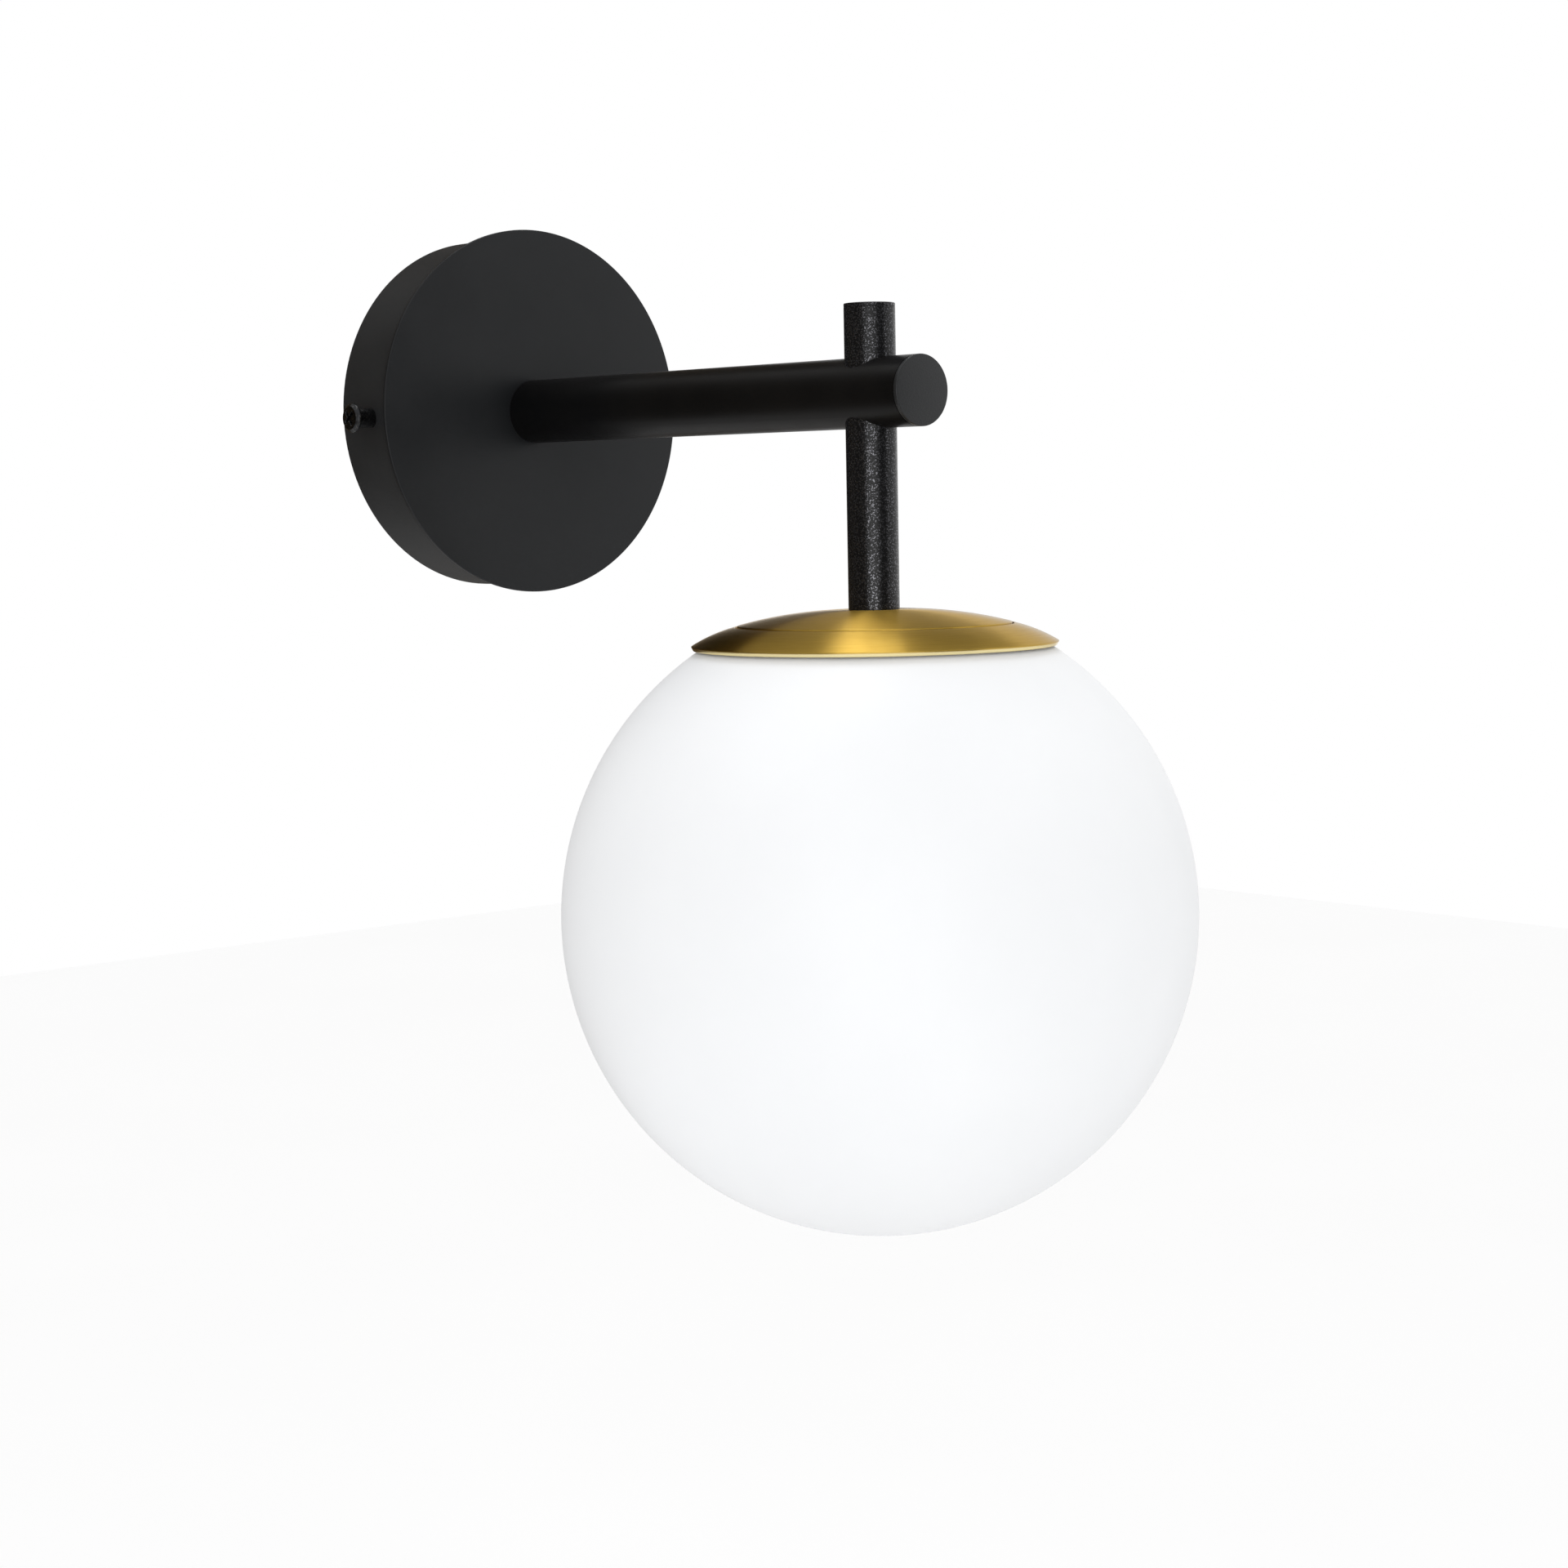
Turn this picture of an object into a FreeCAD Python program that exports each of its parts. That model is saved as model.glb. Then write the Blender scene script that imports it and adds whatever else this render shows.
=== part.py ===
import FreeCAD, Part
import math
import os

os.makedirs("parts", exist_ok=True)

# Wall lamp with a round canopy, a crossed arm and drop tube, a brass cap and an opal globe.
# Lengths are millimetres. The wall is the plane y = 0 and the room lies on its -Y side.
# The origin is the centre of the canopy on the wall, and Z points up.
# The arm runs from the origin along -Y, and the lamp axis hangs down from its far end.

# Shared fits
overrun = 1.0            # how far a cutting tool runs past the face it leaves
thread_gap = 0.05        # radial play of a screw that turns in its thread
body_gap = 0.3           # play between pieces that move past each other
seat_gap = 0.1           # play between flat faces that only rest on each other
full_turn = 360.0

# Canopy
canopy_disc_d = 127.0
canopy_disc_t = 1.5
canopy_disc_overhang = 2.5
canopy_ring_wall = 1.2
canopy_depth = 29.5
canopy_edge_round = 0.35

# Wall bracket
strap_width = 18.0
strap_t = 2.0
strap_bend_r = 4.0
ear_reach = 24.0
wall_slot_spacing = 70.0
wall_slot_length = 14.0
wall_slot_width = 4.5
cable_hole_d = 11.0
ear_corner_r = 4.0

# Earth screw of the bracket
bracket_earth_x = 18.0
earth_thread_d = 4.0
earth_head_d = 8.0
earth_head_h = 2.4
cup_washer_d = 9.5
cup_washer_t = 1.0

# Side screws of the canopy
side_screw_from_wall = 17.0
side_screw_drop = 2.0
side_thread_d = 4.0
side_head_d = 10.0
side_head_h = 2.4
side_boss_d = 6.8
side_boss_length = 5.7
spring_washer_t = 0.9

# Recess in the screw heads, as shares of the head
recess_length_share = 0.58
recess_width_share = 0.15
recess_depth_share = 0.55
head_side_share = 0.4
head_crown_share = 0.8
head_crown_height_share = 0.88
head_edge_bulge_share = 0.22

# Arm tube
arm_d = 22.0
arm_wall = 2.0
arm_reach = 203.0        # wall to lamp axis
arm_overhang = 23.0      # lamp axis to end face
arm_cap_t = 1.5
arm_cap_spigot = 6.0
arm_plug_length = 12.0

# Threaded nipples, nuts and washers
nipple_d = 10.0
nipple_bore_d = 7.0
canopy_nipple_stand = 9.0
canopy_nipple_grip = 11.0
canopy_nut_flats = 14.0
canopy_nut_t = 4.0
lock_washer_d = 16.0
lock_washer_t = 0.8
lock_tooth_depth = 1.0
lock_tooth_count = 12
nut_bevel_share = 0.35

# Drop tube
drop_tube_d = 16.0
drop_tube_wall = 1.5
drop_tube_rise = 27.5    # arm axis to top face
drop_tube_fall = 67.1    # arm axis to foot
drop_cap_t = 1.2
drop_cap_spigot = 5.0
drop_insert_length = 12.0
wire_hole_d = 9.0

# Brass cap: fixed dome and loose skirt
brass_t = 1.2
dome_seat_d = 19.0
dome_d = 86.0
dome_drop = 4.4          # foot of the drop tube to the seam
dome_rim_depth = 6.8
skirt_seam_gap = 0.4
skirt_seam_step = 0.3
skirt_t = 1.0
skirt_overhang = 14.5    # edge of the dome to the widest edge of the skirt
skirt_drop = 10.5        # foot of the drop tube to the widest edge
skirt_bulge = 0.6
lip_inset = 0.7
lip_drop = 1.3
lip_edge_t = 0.4

# Globe
globe_d = 200.0
globe_stretch_share = 1.006
glass_t = 2.5
shoulder_inset = 2.0     # foot of the lip to the shoulder's corner
shoulder_in_lip = 0.1    # how far the shoulder stands above the lip's foot
neck_wall = 3.2
neck_height = 5.6
gasket_t = 1.0
gasket_width = 4.4

# Head fixings under the dome
head_washer_d = 18.4
head_washer_t = 1.5
head_nut_flats = 14.0
head_nut_t = 3.0
head_nipple_grip = 10.0
head_nipple_past_cap = 0.8

# Lampholder
holder_d = 39.0
holder_wall = 2.0
holder_top_gap = 0.6
holder_neck_d = 17.0
holder_neck_height = 5.0
holder_thread_depth = 9.0
holder_dome_drop = 15.8
holder_inner_rise = 1.2
holder_cap_height = 24.0
holder_core_t = 7.0
holder_shell_length = 32.0
holder_lip_t = 2.0
holder_lip_bore_d = 28.8
holder_grub_d = 3.0
holder_grub_drop = 3.6
screw_shell_bore_d = 26.8
screw_shell_wall = 0.5
contact_d = 9.0
contact_leaf_t = 0.5
contact_button_d = 5.0
contact_button_h = 1.7
clamp_x = 10.5
clamp_width = 7.0
clamp_depth = 8.0
clamp_height = 6.0
clamp_bore_d = 2.5
clamp_bore_depth = 5.0
clamp_screw_d = 3.0
clamp_head_d = 5.2
clamp_head_h = 1.8

# Bulb
bulb_base_d = 26.2
bulb_base_wall = 0.5
bulb_base_length = 18.0
bulb_base_chamfer = 1.2
bulb_tip_d = 8.8
bulb_tip_t = 1.4
bulb_insulator_h = 3.5
bulb_insulator_d = 22.0
bulb_neck_d = 28.0
bulb_body_d = 53.0
bulb_body_length = 41.0
bulb_body_wall = 2.0
bulb_collar_h = 1.0
bulb_globe_bulge = 3.5   # how far the diffuser swells past the body
bulb_globe_wall = 1.5

# Terminal block and its fixing
block_width = 30.0
block_height = 17.0
block_depth = 14.0
block_centre_z = 34.0
pole_pitch = 10.0
sleeve_d = 5.0
sleeve_bore_d = 3.2
block_screw_d = 3.0
block_screw_offset = 4.5
block_screw_sink = 0.5
block_stud_d = 3.0
block_stud_stand = 2.6
block_nut_flats = 5.5
block_nut_t = 2.4
block_edge_round = 1.2

# Earth stud and tag on the canopy disc
earth_stud_x = 34.0
earth_stud_z = 14.0
earth_stud_d = 4.0
earth_stud_length = 11.0
earth_nut_flats = 7.0
earth_nut_t = 3.2
tag_t = 0.8
tag_ring_d = 9.0
tag_barrel_d = 3.8
tag_barrel_bore_d = 2.5
tag_barrel_length = 6.0
tag_barrel_gap = 0.2

# Wires
wire_d = 2.4
wire_side = 1.5          # how far each wire lies from the tube axis
wire_in_block = 4.5      # length of wire inside its sleeve or clamp
wire_below_block = 7.5
wire_spread = 4.0
wire_high_z = 12.0
wire_from_wall = 9.0
wire_below_nipple = 1.7
wire_above_clamp = 3.2
earth_wire_below_block = 6.5
earth_wire_step = 4.5
bend_share = 0.45        # share of the shorter run that a bend takes up

# Places worked out from the values above
disc_r = canopy_disc_d / 2
ring_r = disc_r - canopy_disc_overhang
ring_inner_r = ring_r - canopy_ring_wall
disc_back_y = canopy_disc_t - canopy_depth
ear_x = math.sqrt(ring_inner_r ** 2 - (strap_width / 2) ** 2) - body_gap
arm_r = arm_d / 2
arm_bore_r = arm_r - arm_wall
arm_end = arm_reach + arm_overhang
nipple_r = nipple_d / 2
nipple_bore_r = nipple_bore_d / 2
drop_r = drop_tube_d / 2
drop_bore_r = drop_r - drop_tube_wall
foot_z = -drop_tube_fall
wire_r = wire_d / 2
dome_r = dome_d / 2
dome_seat_r = dome_seat_d / 2
seam_z = foot_z - dome_drop
rim_z = foot_z - skirt_drop
lip_z = rim_z - lip_drop
skirt_r = dome_r + skirt_overhang
lip_r = skirt_r - lip_inset
shoulder_z = lip_z + shoulder_in_lip
shoulder_r = lip_r - shoulder_inset
globe_r = globe_d / 2
globe_half_height = globe_r * globe_stretch_share
globe_centre_z = shoulder_z - globe_half_height * math.sqrt(1 - (shoulder_r / globe_r) ** 2)
neck_r = dome_r - brass_t - body_gap
dome_under_z = foot_z - brass_t
head_washer_z = dome_under_z - head_washer_t
head_lock_z = head_washer_z - lock_washer_t
head_nut_z = head_lock_z - head_nut_t
holder_top_z = head_nut_z - holder_top_gap
holder_r = holder_d / 2
holder_bore_r = holder_r - holder_wall
holder_joint_z = holder_top_z - holder_cap_height
core_under_z = holder_joint_z - holder_core_t
holder_mouth_z = holder_joint_z - holder_shell_length
head_nipple_end_z = holder_top_z - holder_thread_depth - head_nipple_past_cap
contact_end_z = core_under_z - contact_leaf_t - contact_button_h
bulb_top_z = contact_end_z - seat_gap
bulb_insulator_top_z = bulb_top_z - bulb_tip_t - thread_gap
bulb_base_top_z = bulb_insulator_top_z - bulb_insulator_h
bulb_base_end_z = bulb_base_top_z - bulb_base_length
bulb_body_end_z = bulb_base_end_z - bulb_body_length
bulb_body_r = bulb_body_d / 2
bulb_globe_r = bulb_body_r + bulb_globe_bulge
bulb_globe_z = bulb_body_end_z - math.sqrt(bulb_globe_r ** 2 - bulb_body_r ** 2)
block_low_z = block_centre_z - block_height / 2
block_back_y = disc_back_y + block_depth
pole_y = disc_back_y + block_depth / 2
side_boss_x = ring_r + side_boss_length
side_head_x = side_boss_x + spring_washer_t

right = FreeCAD.Vector(1, 0, 0)
inward = FreeCAD.Vector(0, 1, 0)
outward = FreeCAD.Vector(0, -1, 0)
up = FreeCAD.Vector(0, 0, 1)
down = FreeCAD.Vector(0, 0, -1)
lamp_axis = FreeCAD.Vector(0, -arm_reach, 0)


def at(x, y, z):
    """A point in the lamp's frame."""
    return FreeCAD.Vector(x, y, z)


def rod(radius, start, end):
    """Round bar from one point to another."""
    along = end - start
    return Part.makeCylinder(radius, along.Length, start, along)


def hole(radius, start, end):
    """Round cutting tool that runs past both ends."""
    along = FreeCAD.Vector(end - start).normalize()
    return rod(radius, start - along * overrun, end + along * overrun)


def pipe(radius, bore_radius, start, end):
    """Round tube from one point to another."""
    return rod(radius, start, end).cut(hole(bore_radius, start, end))


def block(low, high):
    """Box between two opposite corners."""
    size = high - low
    return Part.makeBox(size.x, size.y, size.z, low)


def hex_nut(flats, bore_radius, start, end):
    """Hexagonal nut whose axis runs from start to end, with bevelled corners."""
    along = end - start
    corner_r = flats / math.sqrt(3)
    corners = []
    for k in range(7):
        angle = math.pi * k / 3
        corners.append(at(corner_r * math.cos(angle), corner_r * math.sin(angle), 0))
    prism = Part.Face(Part.makePolygon(corners)).extrude(up * along.Length)
    bevel = along.Length * nut_bevel_share
    turned = lathe([
        (0, 0),
        (flats / 2, 0),
        (corner_r + overrun, bevel),
        (corner_r + overrun, along.Length - bevel),
        (flats / 2, along.Length),
        (0, along.Length),
    ])
    nut = prism.common(turned).cut(hole(bore_radius, at(0, 0, 0), up * along.Length))
    return aimed(nut, along, start)


def aimed(shape, direction, place):
    """Shape drawn along Z, turned to a direction and moved to a place."""
    moved = shape.copy()
    turn = FreeCAD.Rotation(up, direction)
    moved.Placement = FreeCAD.Placement(place, turn)
    return moved


def outline(steps):
    """Closed face in the r-z half plane.

    A step is a point, reached by a straight line, or a pair of points, reached by an arc
    through the first one.
    """
    edges = []
    here = None
    first = None
    for step in steps:
        if isinstance(step[0], tuple):
            through = at(step[0][0], 0, step[0][1])
            there = at(step[1][0], 0, step[1][1])
            edges.append(Part.Arc(here, through, there).toShape())
        else:
            there = at(step[0], 0, step[1])
            if here is not None:
                edges.append(Part.LineSegment(here, there).toShape())
        if first is None:
            first = there
        here = there
    edges.append(Part.LineSegment(here, first).toShape())
    return Part.Face(Part.Wire(edges))


def lathe(steps):
    """Outline turned once around the Z axis."""
    return outline(steps).revolve(at(0, 0, 0), up, full_turn)


def on_lamp_axis(shape):
    """Shape turned around Z, moved to the lamp axis."""
    return shape.translated(lamp_axis)


def bulged(start, end, bulge):
    """Middle of a chord, moved square to it on its left by the bulge."""
    run_r = end[0] - start[0]
    run_z = end[1] - start[1]
    length = math.hypot(run_r, run_z)
    middle_r = (start[0] + end[0]) / 2 - run_z * bulge / length
    middle_z = (start[1] + end[1]) / 2 + run_r * bulge / length
    return (middle_r, middle_z)


def pan_screw(thread_d, head_d, head_h, length):
    """Pan head screw along Z, head up, its seat at the origin, with a cross recess."""
    head_r = head_d / 2
    edge = (head_r, head_h * head_side_share)
    crown = (head_r * head_crown_share, head_h * head_crown_height_share)
    edge_bulge = (head_r - crown[0]) * head_edge_bulge_share
    crown_fall = head_h - crown[1]
    crown_bend = (crown[0] ** 2 + crown_fall ** 2) / (2 * crown_fall)
    middle_r = crown[0] / 2
    middle_z = head_h - crown_bend + math.sqrt(crown_bend ** 2 - middle_r ** 2)
    screw = lathe([
        (0, -length),
        (thread_d / 2, -length),
        (thread_d / 2, 0),
        (head_r, 0),
        edge,
        (bulged(edge, crown, -edge_bulge), crown),
        ((middle_r, middle_z), (0, head_h)),
    ])
    reach = head_d * recess_length_share / 2
    half = head_d * recess_width_share / 2
    floor_z = head_h * (1 - recess_depth_share)
    top_z = head_h + overrun
    across = block(at(-reach, -half, floor_z), at(reach, half, top_z))
    along = block(at(-half, -reach, floor_z), at(half, reach, top_z))
    return screw.cut(across.fuse(along))


def tooth_washer(radius, bore_radius, thickness):
    """Flat lock washer along Z with notches around its rim."""
    washer = pipe(radius, bore_radius, at(0, 0, 0), at(0, 0, thickness))
    notch = rod(lock_tooth_depth, at(radius, 0, -overrun), at(radius, 0, thickness + overrun))
    for k in range(lock_tooth_count):
        turned = notch.copy()
        turned.rotate(at(0, 0, 0), up, full_turn * k / lock_tooth_count)
        washer = washer.cut(turned)
    return washer


def wire(points, tight=None):
    """Round wire along straight runs joined by tangent arcs.

    Each bend takes up a fixed share of its shorter run, or less where the object is tight:
    tight gives the most that the bend at a point may take.
    """
    tight = tight or {}
    edges = []
    here = points[0]
    for k in range(1, len(points) - 1):
        before = points[k] - points[k - 1]
        after = points[k + 1] - points[k]
        shorter = min(before.Length, after.Length)
        reach = min(bend_share * shorter, tight.get(k, shorter))
        before = FreeCAD.Vector(before).normalize()
        after = FreeCAD.Vector(after).normalize()
        half_turn = before.getAngle(after) / 2
        radius = reach / math.tan(half_turn)
        start = points[k] - before * reach
        end = points[k] + after * reach
        inside = FreeCAD.Vector(after - before).normalize()
        middle = points[k] + inside * (radius / math.cos(half_turn) - radius)
        edges.append(Part.LineSegment(here, start).toShape())
        edges.append(Part.Arc(start, middle, end).toShape())
        here = end
    edges.append(Part.LineSegment(here, points[-1]).toShape())
    path = Part.Wire(edges)
    heading = points[1] - points[0]
    section = Part.Wire(Part.makeCircle(wire_r, points[0], heading))
    solid = path.makePipeShell([section], True, False)
    expected = math.pi * wire_r ** 2 * path.Length
    print("wire", round(path.Length, 1), "mm long, volume", round(solid.Volume / expected, 4))
    return solid


# Wall side

def wall_bracket():
    """Bent steel strap with two ears, two wall slots, a cable hole and an earth thread."""
    inner_x = ear_x - strap_t
    inner_r = strap_bend_r - strap_t
    turn = math.sqrt(2) / 2
    outer_mid = strap_bend_r * (1 - turn)
    inner_mid = strap_t + inner_r * (1 - turn)
    half = strap_width / 2

    def corner(side, depth_x, depth_y):
        return at(side * (ear_x - depth_x), -depth_y, -half)

    edges = [
        Part.LineSegment(corner(-1, 0, ear_reach), corner(-1, 0, strap_bend_r)),
        Part.Arc(corner(-1, 0, strap_bend_r), corner(-1, outer_mid, outer_mid),
                 corner(-1, strap_bend_r, 0)),
        Part.LineSegment(corner(-1, strap_bend_r, 0), corner(1, strap_bend_r, 0)),
        Part.Arc(corner(1, strap_bend_r, 0), corner(1, outer_mid, outer_mid),
                 corner(1, 0, strap_bend_r)),
        Part.LineSegment(corner(1, 0, strap_bend_r), corner(1, 0, ear_reach)),
        Part.LineSegment(corner(1, 0, ear_reach), corner(1, strap_t, ear_reach)),
        Part.LineSegment(corner(1, strap_t, ear_reach), corner(1, strap_t, strap_bend_r)),
        Part.Arc(corner(1, strap_t, strap_bend_r), corner(1, inner_mid, inner_mid),
                 corner(1, strap_bend_r, strap_t)),
        Part.LineSegment(corner(1, strap_bend_r, strap_t), corner(-1, strap_bend_r, strap_t)),
        Part.Arc(corner(-1, strap_bend_r, strap_t), corner(-1, inner_mid, inner_mid),
                 corner(-1, strap_t, strap_bend_r)),
        Part.LineSegment(corner(-1, strap_t, strap_bend_r), corner(-1, strap_t, ear_reach)),
        Part.LineSegment(corner(-1, strap_t, ear_reach), corner(-1, 0, ear_reach)),
    ]
    profile = Part.Face(Part.Wire([edge.toShape() for edge in edges]))
    strap = profile.extrude(up * strap_width)
    ear_corners = [edge for edge in strap.Edges if is_ear_corner(edge)]
    strap = strap.makeFillet(ear_corner_r, ear_corners)
    for side in (-1, 1):
        strap = strap.cut(wall_slot(side))
    strap = strap.cut(hole(cable_hole_d / 2, at(0, -strap_t, 0), at(0, 0, 0)))
    earth_hole = hole(earth_thread_d / 2, at(bracket_earth_x, -strap_t, 0),
                      at(bracket_earth_x, 0, 0))
    return strap.cut(earth_hole)


def is_ear_corner(edge):
    """True for the short edges across the free ends of the ears."""
    box = edge.BoundBox
    at_end = abs(box.YMin + ear_reach) < body_gap and abs(box.YMax + ear_reach) < body_gap
    return at_end and box.ZLength < body_gap


def wall_slot(side):
    """Cutting tool for one wall screw slot."""
    run = (wall_slot_length - wall_slot_width) / 2
    centre = side * wall_slot_spacing / 2
    half = wall_slot_width / 2
    low = at(centre - run, -strap_t - overrun, -half)
    high = at(centre + run, overrun, half)
    slot = block(low, high)
    for end in (centre - run, centre + run):
        slot = slot.fuse(hole(half, at(end, -strap_t, 0), at(end, 0, 0)))
    return slot


def bracket_earth_screw():
    """Earth screw in the bracket, flush with its back."""
    length = strap_t + cup_washer_t
    screw = pan_screw(earth_thread_d, earth_head_d, earth_head_h, length)
    return aimed(screw, outward, at(bracket_earth_x, -length, 0))


def bracket_earth_washer():
    """Cup washer that traps the earth conductor."""
    seat = at(bracket_earth_x, -strap_t, 0)
    front = at(bracket_earth_x, -strap_t - cup_washer_t, 0)
    return pipe(cup_washer_d / 2, earth_thread_d / 2, seat, front)


# Canopy

def canopy_disc():
    """Front disc, wider than the ring, with the hole for the arm's nipple."""
    disc = pipe(disc_r, nipple_r, at(0, disc_back_y, 0), at(0, -canopy_depth, 0))
    rims = [edge for edge in disc.Edges if edge.BoundBox.XLength > 2 * ring_r]
    rims = [edge for edge in rims if edge.BoundBox.YLength < body_gap]
    return disc.makeFillet(canopy_edge_round, rims)


def canopy_ring():
    """Side wall of the canopy, with a hole on each side for its screw."""
    ring = pipe(ring_r, ring_inner_r, at(0, -body_gap, 0), at(0, disc_back_y, 0))
    screw_hole = hole(side_thread_d / 2 + thread_gap, side_point(-ring_r), side_point(ring_r))
    return ring.cut(screw_hole)


def side_point(x):
    """Point on the axis of the side screws."""
    return at(x, -side_screw_from_wall, -side_screw_drop)


def canopy_screw_bosses():
    """Threaded bosses on the outside of the ring, shaped to its curve."""
    ring_core = rod(ring_r, at(0, 0, 0), at(0, -canopy_depth, 0))
    bosses = []
    for side in (-1, 1):
        start = side_point(side * ring_inner_r)
        end = side_point(side * side_boss_x)
        boss = pipe(side_boss_d / 2, side_thread_d / 2 + thread_gap, start, end)
        bosses.append(boss.cut(ring_core))
    return Part.makeCompound(bosses)


def side_washer(side):
    """Spring washer under the head of a side screw."""
    start = side_point(side * side_boss_x)
    end = side_point(side * (side_head_x - thread_gap))
    return pipe(side_boss_d / 2, side_thread_d / 2 + thread_gap, start, end)


def side_screw(side):
    """Side screw whose tip bears on the bracket's ear."""
    length = side_head_x - ear_x - seat_gap
    screw = pan_screw(side_thread_d, side_head_d, side_head_h, length)
    return aimed(screw, right * side, side_point(side * side_head_x))


# Arm

def arm_tube():
    """Arm tube, bored across for the drop tube."""
    root = at(0, -canopy_depth, 0)
    tip = at(0, arm_cap_t - arm_end, 0)
    tube = pipe(arm_r, arm_bore_r, root, tip)
    low = lamp_axis + down * arm_r
    high = lamp_axis + up * arm_r
    return tube.cut(hole(drop_r, low, high))


def arm_end_cap():
    """Turned cap that closes the arm, with a spigot in the bore."""
    face = rod(arm_r, at(0, arm_cap_t - arm_end, 0), at(0, -arm_end, 0))
    edges = [edge for edge in face.Edges if abs(edge.BoundBox.YMax + arm_end) < canopy_edge_round]
    face = face.makeChamfer(canopy_edge_round, edges)
    spigot_end = at(0, arm_cap_t + arm_cap_spigot - arm_end, 0)
    return face.fuse(rod(arm_bore_r, spigot_end, at(0, arm_cap_t - arm_end, 0))).removeSplitter()


def arm_root_plug():
    """Threaded plug in the arm's root."""
    start = at(0, -canopy_depth, 0)
    end = at(0, -canopy_depth - arm_plug_length, 0)
    return pipe(arm_bore_r, nipple_r, start, end)


def canopy_nipple():
    """Hollow threaded rod that holds the arm to the disc."""
    start = at(0, disc_back_y + canopy_nipple_stand, 0)
    end = at(0, -canopy_depth - canopy_nipple_grip, 0)
    return pipe(nipple_r, nipple_bore_r, start, end)


def canopy_lock_washer():
    """Toothed washer between the nut and the disc."""
    washer = tooth_washer(lock_washer_d / 2, nipple_r, lock_washer_t)
    return aimed(washer, inward, at(0, disc_back_y, 0))


def canopy_nut():
    """Nut on the nipple, inside the canopy."""
    start = at(0, disc_back_y + lock_washer_t, 0)
    end = at(0, disc_back_y + lock_washer_t + canopy_nut_t, 0)
    return hex_nut(canopy_nut_flats, nipple_r, start, end)


def drop_tube():
    """Vertical tube with a side hole for the wires."""
    foot = lamp_axis + down * drop_tube_fall
    top = lamp_axis + up * (drop_tube_rise - drop_cap_t)
    tube = pipe(drop_r, drop_bore_r, foot, top)
    return tube.cut(rod(wire_hole_d / 2, lamp_axis, lamp_axis + inward * drop_tube_d))


def drop_tube_cap():
    """Flat cap on the drop tube, with a spigot in the bore."""
    top = lamp_axis + up * drop_tube_rise
    seat = lamp_axis + up * (drop_tube_rise - drop_cap_t)
    spigot_end = seat + down * drop_cap_spigot
    face = rod(drop_r, seat, top)
    edges = [edge for edge in face.Edges if abs(edge.BoundBox.ZMin - drop_tube_rise) < thread_gap]
    face = face.makeChamfer(canopy_edge_round, edges)
    return face.fuse(rod(drop_bore_r, spigot_end, seat)).removeSplitter()


def drop_tube_insert():
    """Threaded insert in the foot of the drop tube."""
    foot = lamp_axis + down * drop_tube_fall
    return pipe(drop_bore_r, nipple_r, foot, foot + up * drop_insert_length)


# Brass cap and head fixings

def brass_dome():
    """Spun dome with a flat seat for the drop tube and a rim around the globe's neck."""
    span = dome_r - dome_seat_r
    bend_r = (span ** 2 + dome_drop ** 2) / (2 * dome_drop)
    middle_drop = bend_r - math.sqrt(bend_r ** 2 - (span / 2) ** 2)
    middle_r = (dome_seat_r + dome_r) / 2
    bore_r = nipple_r
    rim_end_z = seam_z - dome_rim_depth
    return on_lamp_axis(lathe([
        (bore_r, foot_z),
        (dome_seat_r, foot_z),
        ((middle_r, foot_z - middle_drop), (dome_r, seam_z)),
        (dome_r, rim_end_z),
        (dome_r - brass_t, rim_end_z),
        (dome_r - brass_t, seam_z - brass_t),
        ((middle_r - brass_t / 2, foot_z - middle_drop - brass_t), (dome_seat_r, dome_under_z)),
        (bore_r, dome_under_z),
    ]))


def head_nipple():
    """Hollow threaded rod from the drop tube down into the lampholder."""
    start = lamp_axis + up * (foot_z + head_nipple_grip)
    end = lamp_axis + up * head_nipple_end_z
    return pipe(nipple_r, nipple_bore_r, start, end)


def head_washer():
    """Plain washer under the dome."""
    start = lamp_axis + up * dome_under_z
    end = lamp_axis + up * head_washer_z
    return pipe(head_washer_d / 2, nipple_r, start, end)


def head_lock_washer():
    """Toothed washer above the head nut."""
    washer = tooth_washer(lock_washer_d / 2, nipple_r, lock_washer_t)
    return aimed(washer, down, lamp_axis + up * head_washer_z)


def head_nut():
    """Nut that clamps the dome against the drop tube."""
    start = lamp_axis + up * head_lock_z
    end = lamp_axis + up * head_nut_z
    return hex_nut(head_nut_flats, nipple_r, start, end)


def brass_skirt():
    """Spun skirt: a collar around the dome's rim, a curved cover and a lip around the globe."""
    collar_r = dome_r + skirt_seam_gap
    top = (collar_r, seam_z - skirt_seam_step)
    edge = (skirt_r, rim_z)
    under_top = (collar_r + skirt_t, seam_z - skirt_seam_step - skirt_t)
    under_edge = (skirt_r - skirt_t, rim_z - skirt_t / 2)
    collar_end = shoulder_z + seat_gap + gasket_t
    return on_lamp_axis(lathe([
        (collar_r, collar_end),
        top,
        (bulged(top, edge, skirt_bulge), edge),
        (lip_r, lip_z),
        (lip_r - lip_edge_t, lip_z),
        under_edge,
        (bulged(under_top, under_edge, skirt_bulge), under_top),
        (collar_r + skirt_t, collar_end),
    ]))


def skirt_gasket():
    """Flat rubber ring between the skirt's collar and the globe's shoulder."""
    start = lamp_axis + up * (shoulder_z + seat_gap)
    end = start + up * gasket_t
    inner_r = dome_r + skirt_seam_gap
    return pipe(inner_r + gasket_width, inner_r, start, end)


# Globe

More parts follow.
